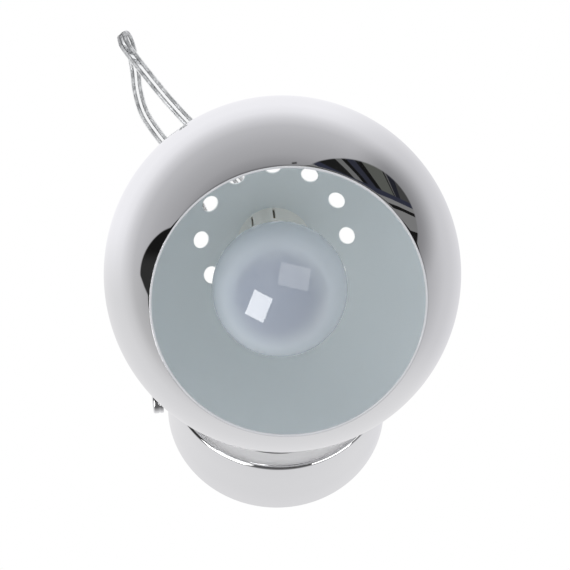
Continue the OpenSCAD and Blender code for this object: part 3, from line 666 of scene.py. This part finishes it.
def ball_ring(radius, from_pole):
    """A ring of points on a sphere, at an angle from the back pole."""
    start = VENT_TURN - 180 / VENT_COUNT
    return [on_ball(radius, from_pole, start + 360 * k / AROUND) for k in range(AROUND)]


def ball_rings(radius, start, end, count):
    """Rings from one angle from the back pole up to, not including, another."""
    return [ball_ring(radius, start + (end - start) * i / count) for i in range(count)]


def level_ring(radius, height):
    """A ring of points at a height along the light's axis."""
    start = radians(VENT_TURN - 180 / VENT_COUNT)
    return [Vector(polar(radius, start + 2 * pi * k / AROUND, height)) for k in range(AROUND)]


def hole_edge(outer, inner, hole_r):
    """Radius and height of the rings through a hole in the shell, from outside to inside."""
    wide = hole_r + HOLE_EDGE
    top = sqrt(outer ** 2 - wide ** 2)
    low = sqrt(inner ** 2 - wide ** 2)
    turns = [radians(angle) for angle in (90, 60, 30, 0)]
    rings = [(wide - HOLE_EDGE * cos(a), top - HOLE_EDGE * (1 - sin(a))) for a in turns]
    rings += [(wide - HOLE_EDGE * cos(a), low + HOLE_EDGE * (1 - sin(a))) for a in turns[::-1]]
    return rings


def pierced_kinds(outside, inside):
    """Chrome to the outer half of a hole's edge, lacquer from its inner half on."""
    return [CHROMED] * (len(outside) + 3) + [LACQUERED] * (len(inside) + 4)


def vent_border(around):
    """Angles from the pole and round the axis along the border of one vent's patch."""
    side = AROUND // VENT_COUNT
    half = 180 / VENT_COUNT
    near, far = VENT_RING - VENT_PATCH, VENT_RING + VENT_PATCH
    before, after = around - half, around + half
    corners = [(far, before), (far, after), (near, after), (near, before), (far, before)]
    border = []
    for start, end in zip(corners, corners[1:]):
        border += [tuple(a + (b - a) * k / side for a, b in zip(start, end)) for k in range(side)]
    return border


def vent_sheet(radius, hole_ring, border):
    """Rings on a sphere from a vent's border to near its hole, closer together toward it."""
    rings = []
    for j in range(VENT_BANDS):
        share = (1 - j / VENT_BANDS) ** 1.3
        rings.append([
            point.lerp(on_ball(radius, *place), share).normalized() * radius
            for point, place in zip(hole_ring, border)
        ])
    return rings


def vent_rings(around, outer, inner):
    """Rings of one vent's patch, from its border outside, through the hole, to its border inside."""
    axis = on_ball(1, VENT_RING, around)
    first = (on_ball(1, VENT_RING + 1, around) - axis).normalized()
    first = (first - first.dot(axis) * axis).normalized()
    second = axis.cross(first)
    border = vent_border(around)
    spokes = []
    for from_pole, turned in border:
        point = on_ball(1, from_pole, turned)
        angle = atan2(point.dot(second), point.dot(first))
        spokes.append(cos(angle) * first + sin(angle) * second)
    edge = hole_edge(outer, inner, VENT_R)
    edge_rings = [[axis * height + spoke * radius for spoke in spokes] for radius, height in edge]
    outside = vent_sheet(outer, edge_rings[0], border)
    inside = vent_sheet(inner, edge_rings[-1], border)
    return outside + edge_rings + inside[::-1], pierced_kinds(outside, inside)


def pole_angle(radius, height):
    """Angle from the back pole, in degrees, of a sphere's level circle at a height."""
    return 180 - degrees(acos(height / radius))


def sphere_r_at(radius, height):
    """Radius of a sphere's level circle at a height from its centre."""
    return sqrt(radius ** 2 - height ** 2)


def rim_rings(outer, inner):
    """Rings over the rounded rim, from the outside to the inside."""
    corners = [
        (sphere_r_at(outer, RIM_START), RIM_START, 0),
        (sphere_r_at(outer, OPENING_OFFSET), OPENING_OFFSET, RIM_ROUNDING),
        (sphere_r_at(inner, OPENING_OFFSET), OPENING_OFFSET, RIM_ROUNDING),
        (sphere_r_at(inner, RIM_START), RIM_START, 0),
    ]
    return [level_ring(r, z) for r, z in rounded(corners, 4)]


def shade_rings(outer, inner):
    """Rings of the main shell from the vents' band over the rim and back inside."""
    rim = rim_rings(outer, inner)
    first = VENT_RING + VENT_PATCH
    outside = ball_rings(outer, first, pole_angle(outer, RIM_START), SHADE_BANDS)
    inside = ball_rings(inner, first, pole_angle(inner, RIM_START), SHADE_BANDS)
    rings = outside + rim + inside[::-1]
    # The rim's flat takes the painted shade, a darker copy of the lacquer
    rim_chromed, rim_shaded = 3, 6
    kinds = [CHROMED] * (len(outside) + rim_chromed) + [SHADED_RIM] * rim_shaded
    kinds += [LACQUERED] * (len(rings) - len(kinds))
    return rings, kinds


def pole_rings(outer, inner):
    """Rings of the cap round the back pole, from outside through the pole hole to inside."""
    last = VENT_RING - VENT_PATCH
    edge = hole_edge(outer, inner, POLE_HOLE_R)
    out_start, in_start = (degrees(asin((POLE_HOLE_R + HOLE_EDGE) / r)) for r in (outer, inner))
    outside = ball_rings(outer, last, out_start, POLE_BANDS)
    inside = ball_rings(inner, last, in_start, POLE_BANDS)
    rings = outside + [level_ring(r, -z) for r, z in edge] + inside[::-1]
    return rings, pierced_kinds(outside, inside)


def add_shade():
    """The ball: one closed shell, chromed outside and lacquered inside, pierced by the vents."""
    outer, inner = BALL_R, BALL_R - SHADE_WALL
    sheets = [shade_rings(outer, inner), pole_rings(outer, inner)]
    sheets += [
        vent_rings(VENT_TURN + 360 * i / VENT_COUNT, outer, inner) for i in range(VENT_COUNT)
    ]
    parts = []
    for rings, ring_kinds in sheets:
        size = len(rings[0])
        kinds = [kind for kind in ring_kinds[: len(rings) - 1] for _ in range(size)]
        points = [point for ring in rings for point in ring]
        parts.append((points, ring_faces(len(rings), size, False), kinds))
    points, faces, kinds = joined(parts)
    shade = add_mesh("ball_shade", points, faces, HEAD, kinds, SHADE_WELD)
    finish_piece(shade, "head", "shade_shell", "white_lacquer", "rim_shaded_lacquer")


# The drum
BEAD_R = 1.25
BEAD_CURL = 266.0
DRUM_WALL = 1.2
PLATE_T = 1.2
PLATE_HOLE_R = 4.1
PLATE_STEP_R = 44.0
STEP_SHADE_ZONE = 3.0


def add_drum():
    """The drum's shell with its rolled bead."""
    _, depth, radius = span("drum_shell", WALL)
    inner = radius - DRUM_WALL
    middle = (radius - BEAD_R, depth - BEAD_R)
    corners = [(inner, 0.0, 0.25), (radius, 0.0, 0.3), (radius, depth / 2, 0), (inner, depth / 2, 0)]
    # Only the rounded back end is kept: the last two corners just give it its directions
    outline = rounded(corners)[:-2]
    outline += [(radius, depth / 3), (radius, depth * 2 / 3)]
    outline += arc(middle, BEAD_R, 0, BEAD_CURL, 28)
    outline += [(inner, depth * 2 / 3), (inner, depth / 3)]
    drum = revolve("drum", outline, WALL, 256)
    finish_piece(drum, "base", "drum_shell")


def add_front_plate():
    """The satin plate in the drum's front, with its pressed step."""
    low, high, radius = span("front_plate", WALL)
    seat = high - PLATE_T
    inner_step = PLATE_STEP_R - PLATE_T
    outline = rounded([
        (PLATE_HOLE_R, low, 0), (PLATE_STEP_R, low, 0.5), (PLATE_STEP_R, seat, 0.4), (radius, seat, 0.1),
        (radius, high, 0.25), (inner_step, high, 0.5), (inner_step, seat, 0.4),
        (inner_step - STEP_SHADE_ZONE, seat, 0), (PLATE_HOLE_R, seat, 0),
    ])
    # Faces of the band at the step's foot take the painted shade
    zone_end = len(outline) - 2
    zone_start = zone_end - 8

    def kinds_of(i):
        return 1 if zone_start <= i < zone_end else 0

    plate = revolve("front_plate_pressing", outline, WALL, 256, kinds_of=kinds_of)
    finish_piece(plate, "base", "front_plate", "step_painted_shade")


def add_stem():
    """The turned stem that carries the magnet, with softened edges."""
    low, high, collar = span("pedestal_stem", WALL)
    seat = span("front_plate", WALL)[1] - PLATE_T
    collar_top, neck_top = seat + 4.0, high - 3.1
    bore_r, thread_r, neck_r, pin_r = 1.6, 4.0, 6.0, 3.0
    outline = rounded([
        (bore_r, low, 0), (thread_r, low, 0.4), (thread_r, seat, 0), (collar, seat, 0.3),
        (collar, collar_top, 0.8), (neck_r, collar_top, 1.2), (neck_r, neck_top, 0.5),
        (pin_r, neck_top, 0), (pin_r, high, 0.3), (bore_r, high, 0.2),
    ])
    finish_piece(revolve("magnet_stem", outline, WALL, 96), "base", "pedestal_stem")


def add_magnet_cup():
    """The turned cup that holds the ring magnet."""
    low, high, radius = span("magnet_cup", WALL)
    floor, bore_r, magnet_r = low + 2.5, 3.05, radius - 2
    outline = rounded([
        (bore_r, low, 0.3), (radius, low, 1.0), (radius, high, 0.5), (magnet_r, high, 0.3),
        (magnet_r, floor, 0.3), (bore_r, floor, 0.2),
    ])
    finish_piece(revolve("magnet_holder", outline, WALL, 128), "magnet_carrier", "magnet_cup")


# The switch
def add_button():
    """The push button: a chromed knob with a dished face and a milled groove."""
    place = on_side(SWITCH_ANGLE)
    low, high, radius = span("switch_button", place)
    skirt_in = high - 4.8
    recess = skirt_in + 1.8
    foot_top, foot_r, shaft_r, recess_r = low + 1.2, 2.8, 1.8, 4.3
    groove_r = radius - 0.3
    outline = rounded([
        (0.0, low, 0), (foot_r, low, 0.2), (foot_r, foot_top, 0.2), (shaft_r, foot_top, 0),
        (shaft_r, recess, 0), (recess_r, recess, 0.3), (recess_r, skirt_in, 0.15),
        (radius, skirt_in, 0.35), (radius, skirt_in + 1.5, 0.2),
        (groove_r, skirt_in + 1.7, 0.1), (groove_r, skirt_in + 2.1, 0.1), (radius, skirt_in + 2.3, 0.2),
        (radius, high, 0.9), (radius - 1.6, high, 0.4), (0.0, high - 0.5, 0),
    ])
    finish_piece(revolve("push_button", outline, place, 96, False), "switch_button", "switch_button")


SPRING_TURNS = 5
SPRING_WIRE_R = 0.25
SPRING_STEPS = 24
WIRE_POINTS = 8


def add_switch_spring():
    """The switch's return spring, a coil over the length of the CAD spring."""
    place = on_side(SWITCH_ANGLE)
    low, high, radius = span("switch_spring", place)
    coil_r = radius - SPRING_WIRE_R
    start, rise = low + SPRING_WIRE_R, high - low - 2 * SPRING_WIRE_R
    count = SPRING_TURNS * SPRING_STEPS
    wire = [2 * pi * k / WIRE_POINTS for k in range(WIRE_POINTS)]
    rings = []
    for i in range(count + 1):
        turned, z = 2 * pi * i / SPRING_STEPS, start + rise * i / count
        rings.append([
            polar(coil_r + SPRING_WIRE_R * cos(a), turned, z + SPRING_WIRE_R * sin(a)) for a in wire
        ])
    points, faces = tube_between(rings)
    spring = add_mesh("return_spring", points, faces, place)
    spring.data.materials.append(MATERIALS["spring_steel"])
    ends = [place @ Vector((0, 0, height)) * MM for height in (low, high)]
    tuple(ends[0])
    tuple(ends[1])
    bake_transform(spring)
    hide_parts("switch_spring")


# Strain reliefs
RELIEF_BORE_R = 2.2
RELIEF_TIP_R = 3.8
GROOVE_DEPTH = 0.45


def relief_outline(flange_r, foot, flange_high, tip, ribs):
    """A flange and a taper with grooves, from the flange's foot out to the tip."""
    outline = [(RELIEF_BORE_R, foot), (flange_r - 0.4, foot), (flange_r, foot + 0.4)]
    outline += [(flange_r, flange_high - 0.6), (flange_r - 0.3, flange_high - 0.15)]
    outline += [(flange_r - 1.0, flange_high)]
    start, length = flange_high + 0.4, tip - flange_high - 0.4
    pitch = length / ribs
    for i in range(ribs):
        base = start + i * pitch
        for share, inset in ((0.1, 0.0), (0.55, 0.0), (0.7, GROOVE_DEPTH), (0.95, GROOVE_DEPTH)):
            z = base + share * pitch
            radius = flange_r - 0.9 + (RELIEF_TIP_R - flange_r + 0.9) * (z - start) / length
            outline.append((radius - inset, z))
    outline += [(RELIEF_TIP_R, tip - 0.3), (RELIEF_TIP_R - 0.3, tip), (RELIEF_BORE_R, tip)]
    return outline


def add_ball_relief():
    """The tapered strain relief at the ball's back pole, drawn from its flange outwards."""
    place = HOLDER @ turn(180, "X")
    low, high, flange_r = span("ball_strain_relief", place)
    outline = relief_outline(flange_r, low, low + 2.5, high, 9)
    finish_piece(revolve("ball_cord_relief", outline, place, 72), "head", "ball_strain_relief")


def add_drum_bush():
    """The cord bush on the drum, with its threaded end inside."""
    place = on_side(CORD_BUSH_ANGLE)
    low, high, flange_r = span("drum_cord_bush", place)
    flange_in = span("drum_shell", WALL)[2] + 0.05
    thread_r = 3.6
    outline = [(RELIEF_BORE_R, low), (thread_r, low), (thread_r, flange_in)]
    outline += relief_outline(flange_r, flange_in, flange_in + 2.0, high, 5)[1:]
    finish_piece(revolve("drum_cord_relief", outline, place, 72), "base", "drum_cord_bush")


# The lampholder and the bulb
HOLDER_WALL = 0.8
SKIRT_R, SKIRT_IN_R, LIP_R = 17.5, 16.7, 0.6
SLIT_ANGLES = (90, 125, 210, 245, 330, 365)
SLIT_W = 1.0
SLIT_START, SLIT_END = 2.0, 20.0
SLIT_ROWS = range(1, 9)


def add_holder_cap():
    """The lampholder's dome with its neck, rounded where they meet."""
    low, high, radius = span("holder_cap", HOLDER)
    inner = radius - HOLDER_WALL
    neck_r, bore_r = 7.5, 5.05
    join = degrees(acos((neck_r + 1.2) / radius))
    outer_arc = arc((0, high), radius, -join, 0, 24)
    inner_arc = arc((0, high), inner, 0, -degrees(acos(bore_r / inner)), 24)
    outline = [(bore_r, low), (neck_r - 0.3, low), (neck_r, low + 0.3)]
    outline += [(neck_r, outer_arc[0][1] - 1.0), (neck_r + 0.35, outer_arc[0][1] - 0.35)]
    outline += outer_arc + inner_arc
    finish_piece(revolve("holder_dome", outline, HOLDER, 128), "head", "holder_cap")


def skirt_angles():
    """Angles round the skirt, with one step for each slit and even steps between."""
    half = degrees(SLIT_W / (SKIRT_R + SKIRT_IN_R))
    angles = []
    for centre, following in zip(SLIT_ANGLES, SLIT_ANGLES[1:] + (SLIT_ANGLES[0] + 360,)):
        start, end = centre + half, following - half
        steps = max(6, round((end - start) / 3))
        angles.append((centre - half, True))
        angles += [(start + (end - start) * k / steps, False) for k in range(steps)]
    return angles


def skirt_profile(low, high):
    """The skirt's closed outline: up its outside, round the lip and down its inside."""
    slit_low, slit_high = low + SLIT_START, low + SLIT_END
    levels = [low, slit_low] + [slit_low + (slit_high - slit_low) * k / len(SLIT_ROWS) for k in SLIT_ROWS]
    levels += [high - 2 * LIP_R - 0.4]
    profile = [(SKIRT_R, z) for z in levels]
    profile += arc((SKIRT_R - LIP_R / 2, high - LIP_R), LIP_R, -50, 210, 14)
    return profile + [(SKIRT_IN_R, z) for z in reversed(levels)]


def slit_faces(count, size, column):
    """The long sides and the ends of one slit, between the skirt's outside and inside."""
    after = (column + 1) % size
    faces = []
    for edge in (column, after):
        for row in SLIT_ROWS:
            inner = count - 1 - row
            faces.append((
                row * size + edge, (row + 1) * size + edge, (inner - 1) * size + edge, inner * size + edge))
    for row in (SLIT_ROWS[0], SLIT_ROWS[-1] + 1):
        inner = count - 1 - row
        faces.append((row * size + column, row * size + after, inner * size + after, inner * size + column))
    return faces


def add_holder_skirt():
    """The slitted skirt with its rolled lip."""
    low, high, _ = span("holder_skirt", HOLDER)
    profile, angles = skirt_profile(low, high), skirt_angles()
    points = []
    for r, z in profile:
        points += [polar(r, radians(angle), z) for angle, _ in angles]
    count, size = len(profile), len(angles)
    slits = [k for k in range(size) if angles[k][1]]
    slit_rows = [row for i in SLIT_ROWS for row in (i, count - 2 - i)]
    faces = []
    for i, face in enumerate(ring_faces(count, size, True)):
        if i % size not in slits or i // size not in slit_rows:
            faces.append(face)
    for column in slits:
        faces += slit_faces(count, size, column)
    finish_piece(add_mesh("holder_sleeve", points, faces, HOLDER), "head", "holder_skirt")


def add_bulb():
    """The bulb's glass: globe, concave shoulder, straight neck and the throat in its cap."""
    foot, tip, globe_r = span("bulb_glass", HOLDER)
    globe_z = tip - globe_r
    neck_r, throat_r, cap_front = 14.5, 11.4, foot + 6.0
    shoulder = cap_front + 3.0
    hollow_z = cap_front + 4.1
    hollow_r = ((globe_z - hollow_z) ** 2 + neck_r ** 2 - globe_r ** 2) / (2 * (globe_r - neck_r))
    share = globe_r / (globe_r + hollow_r)
    join = ((neck_r + hollow_r) * share, globe_z - (globe_z - hollow_z) * share)
    globe_end = degrees(atan2(join[1] - globe_z, join[0]))
    hollow_start = degrees(atan2(join[1] - hollow_z, join[0] - neck_r - hollow_r))
    outline = arc((0, globe_z), globe_r, 90, globe_end, 56)
    outline[0] = (0.0, tip)
    outline += arc((neck_r + hollow_r, hollow_z), hollow_r, hollow_start, 180, 24)[1:]
    outline += [(neck_r, shoulder + 0.4), (neck_r - 0.2, shoulder), (throat_r + 0.3, cap_front + 0.2)]
    outline += [(throat_r, cap_front), (throat_r, foot), (0.0, foot)]
    finish_piece(revolve("bulb_envelope", outline, HOLDER, 160, False), "head", "bulb_glass")


# Light: what shiny surfaces mirror is described by where it shows on a mirror ball
ROOM_MIDDLE = (0.32, 0.210)
ROOM_R = 0.427
FLAG_MIDDLE = (-0.50, 0.0)
FLAG_R = 0.285
FRONT_LIGHT, BACK_LIGHT = 1.20, 0.70


def studio(wires, direction):
    """Colour of the studio in a direction, seen only by glossy rays."""
    toward = tuple(-VIEW_FORWARD)
    normal = wires.vector("NORMALIZE", wires.vector("ADD", direction, toward))
    x = wires.vector("DOT_PRODUCT", normal, tuple(VIEW_RIGHT))
    y = wires.vector("DOT_PRODUCT", normal, tuple(VIEW_UP))
    from_middle = wires.distance(x, y)
    upper = wires.ramp(from_middle, [
        (0.0, 0.10), (0.56, 0.16), (0.61, 0.30), (0.66, 0.39), (0.74, 0.455), (0.82, 0.55),
        (0.86, 0.69), (0.90, 0.88), (0.94, 0.95), (1.0, 0.93),
    ])
    right = wires.ramp(from_middle, [
        (0.0, 0.10), (0.56, 0.12), (0.70, 0.38), (0.82, 0.49), (0.90, 0.63), (0.94, 0.66), (1.0, 0.76),
    ])
    lower = wires.ramp(from_middle, [
        (0.0, 0.10), (0.56, 0.14), (0.74, 0.42), (0.82, 0.53), (0.86, 0.67), (0.90, 0.74), (1.0, 0.80),
    ])
    rightness = wires.weighted(x, 0.92, y, -0.39)
    lowness = wires.weighted(x, -0.35, y, -1.0)
    colour = wires.mix(wires.step(rightness, -0.2, 0.45), upper, right)
    lower = wires.mix(1.0, lower, (0.985, 0.98, 0.995), "MULTIPLY")
    colour = wires.mix(1.0, colour, (1.0, 0.995, 1.03), "MULTIPLY")
    colour = wires.mix(wires.step(lowness, 0.0, 0.5), colour, lower)
    colour = dark_room(wires, x, y, colour)
    colour = left_shadow(wires, x, y, colour)
    colour = patch(wires, x, y, colour, 4.6, (-0.307, -0.252), (-28, -112), (0.15, 0.19))
    colour = patch(wires, x, y, colour, 0.95, (0.213, 0.180), (-13, -100), (0.225, 0.165))
    return patch(wires, x, y, colour, 0.02, (0.065, 0.613), (5, 95), (0.014, 0.004))


def patch(wires, x, y, colour, light, centre, angles, half_sizes):
    """One bright or dark four-sided patch, such as a softbox, as a mirror ball shows it."""
    across, along_side = (Vector((cos(radians(a)), sin(radians(a)))) for a in angles)
    area = across.x * along_side.y - across.y * along_side.x
    dx = wires.math("SUBTRACT", x, centre[0])
    dy = wires.math("SUBTRACT", y, centre[1])
    a = wires.weighted(dx, along_side.y / area, dy, -along_side.x / area)
    b = wires.weighted(dx, -across.y / area, dy, across.x / area)
    inside = 1.0
    for value, half in zip((a, b), half_sizes):
        inside = wires.math("MULTIPLY", inside, wires.within(wires.math("ABSOLUTE", value), half))
    return wires.mix(inside, colour, light)


def dark_room(wires, x, y, colour):
    """The dark side of the studio at the upper right, with its panels, posts and rails."""
    distance = wires.distance(x, y, ROOM_MIDDLE)
    dimmed = wires.mix(1.0, colour, 0.55, "MULTIPLY")
    rightness = wires.step(x, 0.35, 0.6)
    near = wires.math("MULTIPLY", wires.step(distance, 0.425, 0.56, 1.0, 0.0), rightness)
    colour = wires.mix(near, colour, dimmed)
    inside = wires.within(distance, ROOM_R)
    # The posts lean together like a fan, so they are read where they cross one line
    along_post = wires.math("ADD", wires.weighted(x, 0.588, y, -0.809), 0.15)
    across_post = wires.weighted(x, 0.809, y, 0.588)
    fan = wires.math(
        "DIVIDE",
        wires.math("SUBTRACT", across_post, wires.math("MULTIPLY", along_post, 1.85)),
        wires.math("SUBTRACT", 1.0, wires.math("MULTIPLY", along_post, 2.6)),
    )
    posts = stripes(wires, fan, 0.60, 0.86, [
        (0.600, 0.013), (0.641, 0.15), (0.658, 0.008), (0.672, (0.030, 0.032, 0.046)), (0.695, 0.008),
        (0.715, (0.10, 0.104, 0.094)), (0.780, 0.012), (0.787, 0.11), (0.795, (0.018, 0.019, 0.026)),
        (0.832, 0.055),
    ])
    slope = wires.weighted(x, 0.45, y, 1.0)
    rails = stripes(wires, slope, 0.50, 0.72, [
        (0.500, 0.010), (0.562, 0.20), (0.643, 0.009), (0.660, 0.21), (0.683, (0.030, 0.033, 0.052)),
        (0.708, 0.012),
    ])
    above = wires.step(slope, 0.706, 0.710)
    return wires.mix(inside, colour, wires.mix(above, rails, posts))


def stripes(wires, value, start, end, bands):
    """Plain bands of colour, each from its own place on, in a range of a value."""
    share = wires.step(value, start, end, linear=True)
    stops = [((place - start) / (end - start), colour) for place, colour in bands]
    return wires.ramp(share, stops, "CONSTANT")


def left_shadow(wires, x, y, colour):
    """The dark flag that the left side of the ball mirrors."""
    disc = wires.within(wires.distance(x, y, FLAG_MIDDLE), FLAG_R)
    slant = wires.step(wires.weighted(x, 1.0, y, 0.36), -0.787 - EDGE, -0.787 + EDGE)
    flag = wires.mix(wires.step(y, 0.05, 0.14), 0.03, 0.009)
    return wires.mix(wires.math("MULTIPLY", disc, slant), colour, flag)


def add_world():
    """White behind the object, the studio in its gloss and plain light on the rest."""
    world = bpy.data.worlds.new("studio_world")
    world.use_nodes = True
    bpy.context.scene.world = world
    wires = Wires(world.node_tree)
    direction = wires.add("ShaderNodeTexCoord").outputs["Generated"]
    rays = wires.add("ShaderNodeLightPath").outputs
    facing = wires.vector("DOT_PRODUCT", direction, tuple(-VIEW_FORWARD))
    plain = wires.mix(wires.step(facing, -1.0, 1.0, linear=True), BACK_LIGHT, FRONT_LIGHT)
    colour = wires.mix(rays["Is Glossy Ray"], plain, studio(wires, direction))
    behind = wires.math("MAXIMUM", rays["Is Camera Ray"], rays["Is Transmission Ray"])
    colour = wires.mix(behind, colour, 1.0)
    background = wires.add("ShaderNodeBackground", {"Color": colour, "Strength": 1.0})
    output = wires.add("ShaderNodeOutputWorld")
    wires.feed(output.inputs["Surface"], background.outputs["Background"])


LAMP_DISTANCE = 1300.0
KEY_LIGHT_AT = (-0.319, -0.239)
KEY_LIGHT_SIZE, KEY_LIGHT_WATTS = (1.2, 1.2), 7.0
BEAD_PANEL = Vector((96.0, -92.0, -120.0))
BEAD_PANEL_AIM = Vector((25.0, -49.0, -43.0))
BEAD_PANEL_ALONG = Vector((0.81, 0.14, 0.56))
BEAD_PANEL_SIZE, BEAD_PANEL_WATTS = (0.080, 0.048), 0.05


def mirrored_from(x, y):
    """The direction that a mirror ball shows at a place (x, y) of its face."""
    toward = sqrt(1 - x * x - y * y)
    normal = VIEW_RIGHT * x + VIEW_UP * y - VIEW_FORWARD * toward
    return 2 * toward * normal + VIEW_FORWARD


def area_lamp(name, size, watts, position, aim):
    """A flat lamp that the camera doesn't see, in a direction's frame. Its size is in metres."""
    data = bpy.data.lights.new(name, "AREA")
    data.shape = "RECTANGLE"
    data.size, data.size_y = size
    data.energy = watts
    lamp = new_object(name, data)
    lamp.matrix_world = Matrix.Translation(position * MM) @ aim
    lamp.visible_camera = False
    return lamp


def add_key_light():
    """The soft lamp that lights the object. Its gloss is the studio's softbox, so it has none."""
    direction = mirrored_from(*KEY_LIGHT_AT)
    aim = direction.to_track_quat("Z", "Y").to_matrix().to_4x4()
    position = BALL_CENTRE + direction * LAMP_DISTANCE
    lamp = area_lamp("key_light", KEY_LIGHT_SIZE, KEY_LIGHT_WATTS, position, aim)
    lamp.visible_glossy = False


def add_bead_panel():
    """A small white panel beside the drum, seen only in the gloss of the drum's bead."""
    away = (BEAD_PANEL - BEAD_PANEL_AIM).normalized()
    across = away.cross(BEAD_PANEL_ALONG).normalized()
    aim = Matrix((across.cross(away), across, away)).transposed().to_4x4()
    panel = area_lamp("bead_panel", BEAD_PANEL_SIZE, BEAD_PANEL_WATTS, BEAD_PANEL, aim)
    panel.visible_diffuse = False
    panel.visible_transmission = False
    lit = bpy.data.collections.new("lit_by_bead_panel")
    lit.objects.link(bpy.data.objects["drum"])
    panel.light_linking.receiver_collection = lit


FLOOR_Z = -1.35
FLOOR_SIZE = 8.0
# So many that light finds its way about inside the ball
DIFFUSE_BOUNCES = 10


def add_floor():
    """A plain pale floor, far below the wall lamp."""
    half = FLOOR_SIZE / 2
    corners = [(x, y, FLOOR_Z) for x, y in ((-half, -half), (half, -half), (half, half), (-half, half))]
    mesh = bpy.data.meshes.new("floor")
    mesh.from_pydata(corners, [], [(0, 1, 2, 3)])
    floor = new_object("floor", mesh)
    mesh.materials.append(MATERIALS["pale_floor"])
    floor.visible_glossy = False


bpy.context.scene.view_settings.view_transform = "Standard"
bpy.context.scene.cycles.diffuse_bounces = DIFFUSE_BOUNCES
dress_cad_nodes()
add_camera()
add_flex()
add_shade()
add_drum()
add_front_plate()
add_stem()
add_magnet_cup()
add_button()
add_switch_spring()
add_ball_relief()
add_drum_bush()
add_holder_cap()
add_holder_skirt()
add_bulb()
add_world()
add_key_light()
add_bead_panel()
add_floor()
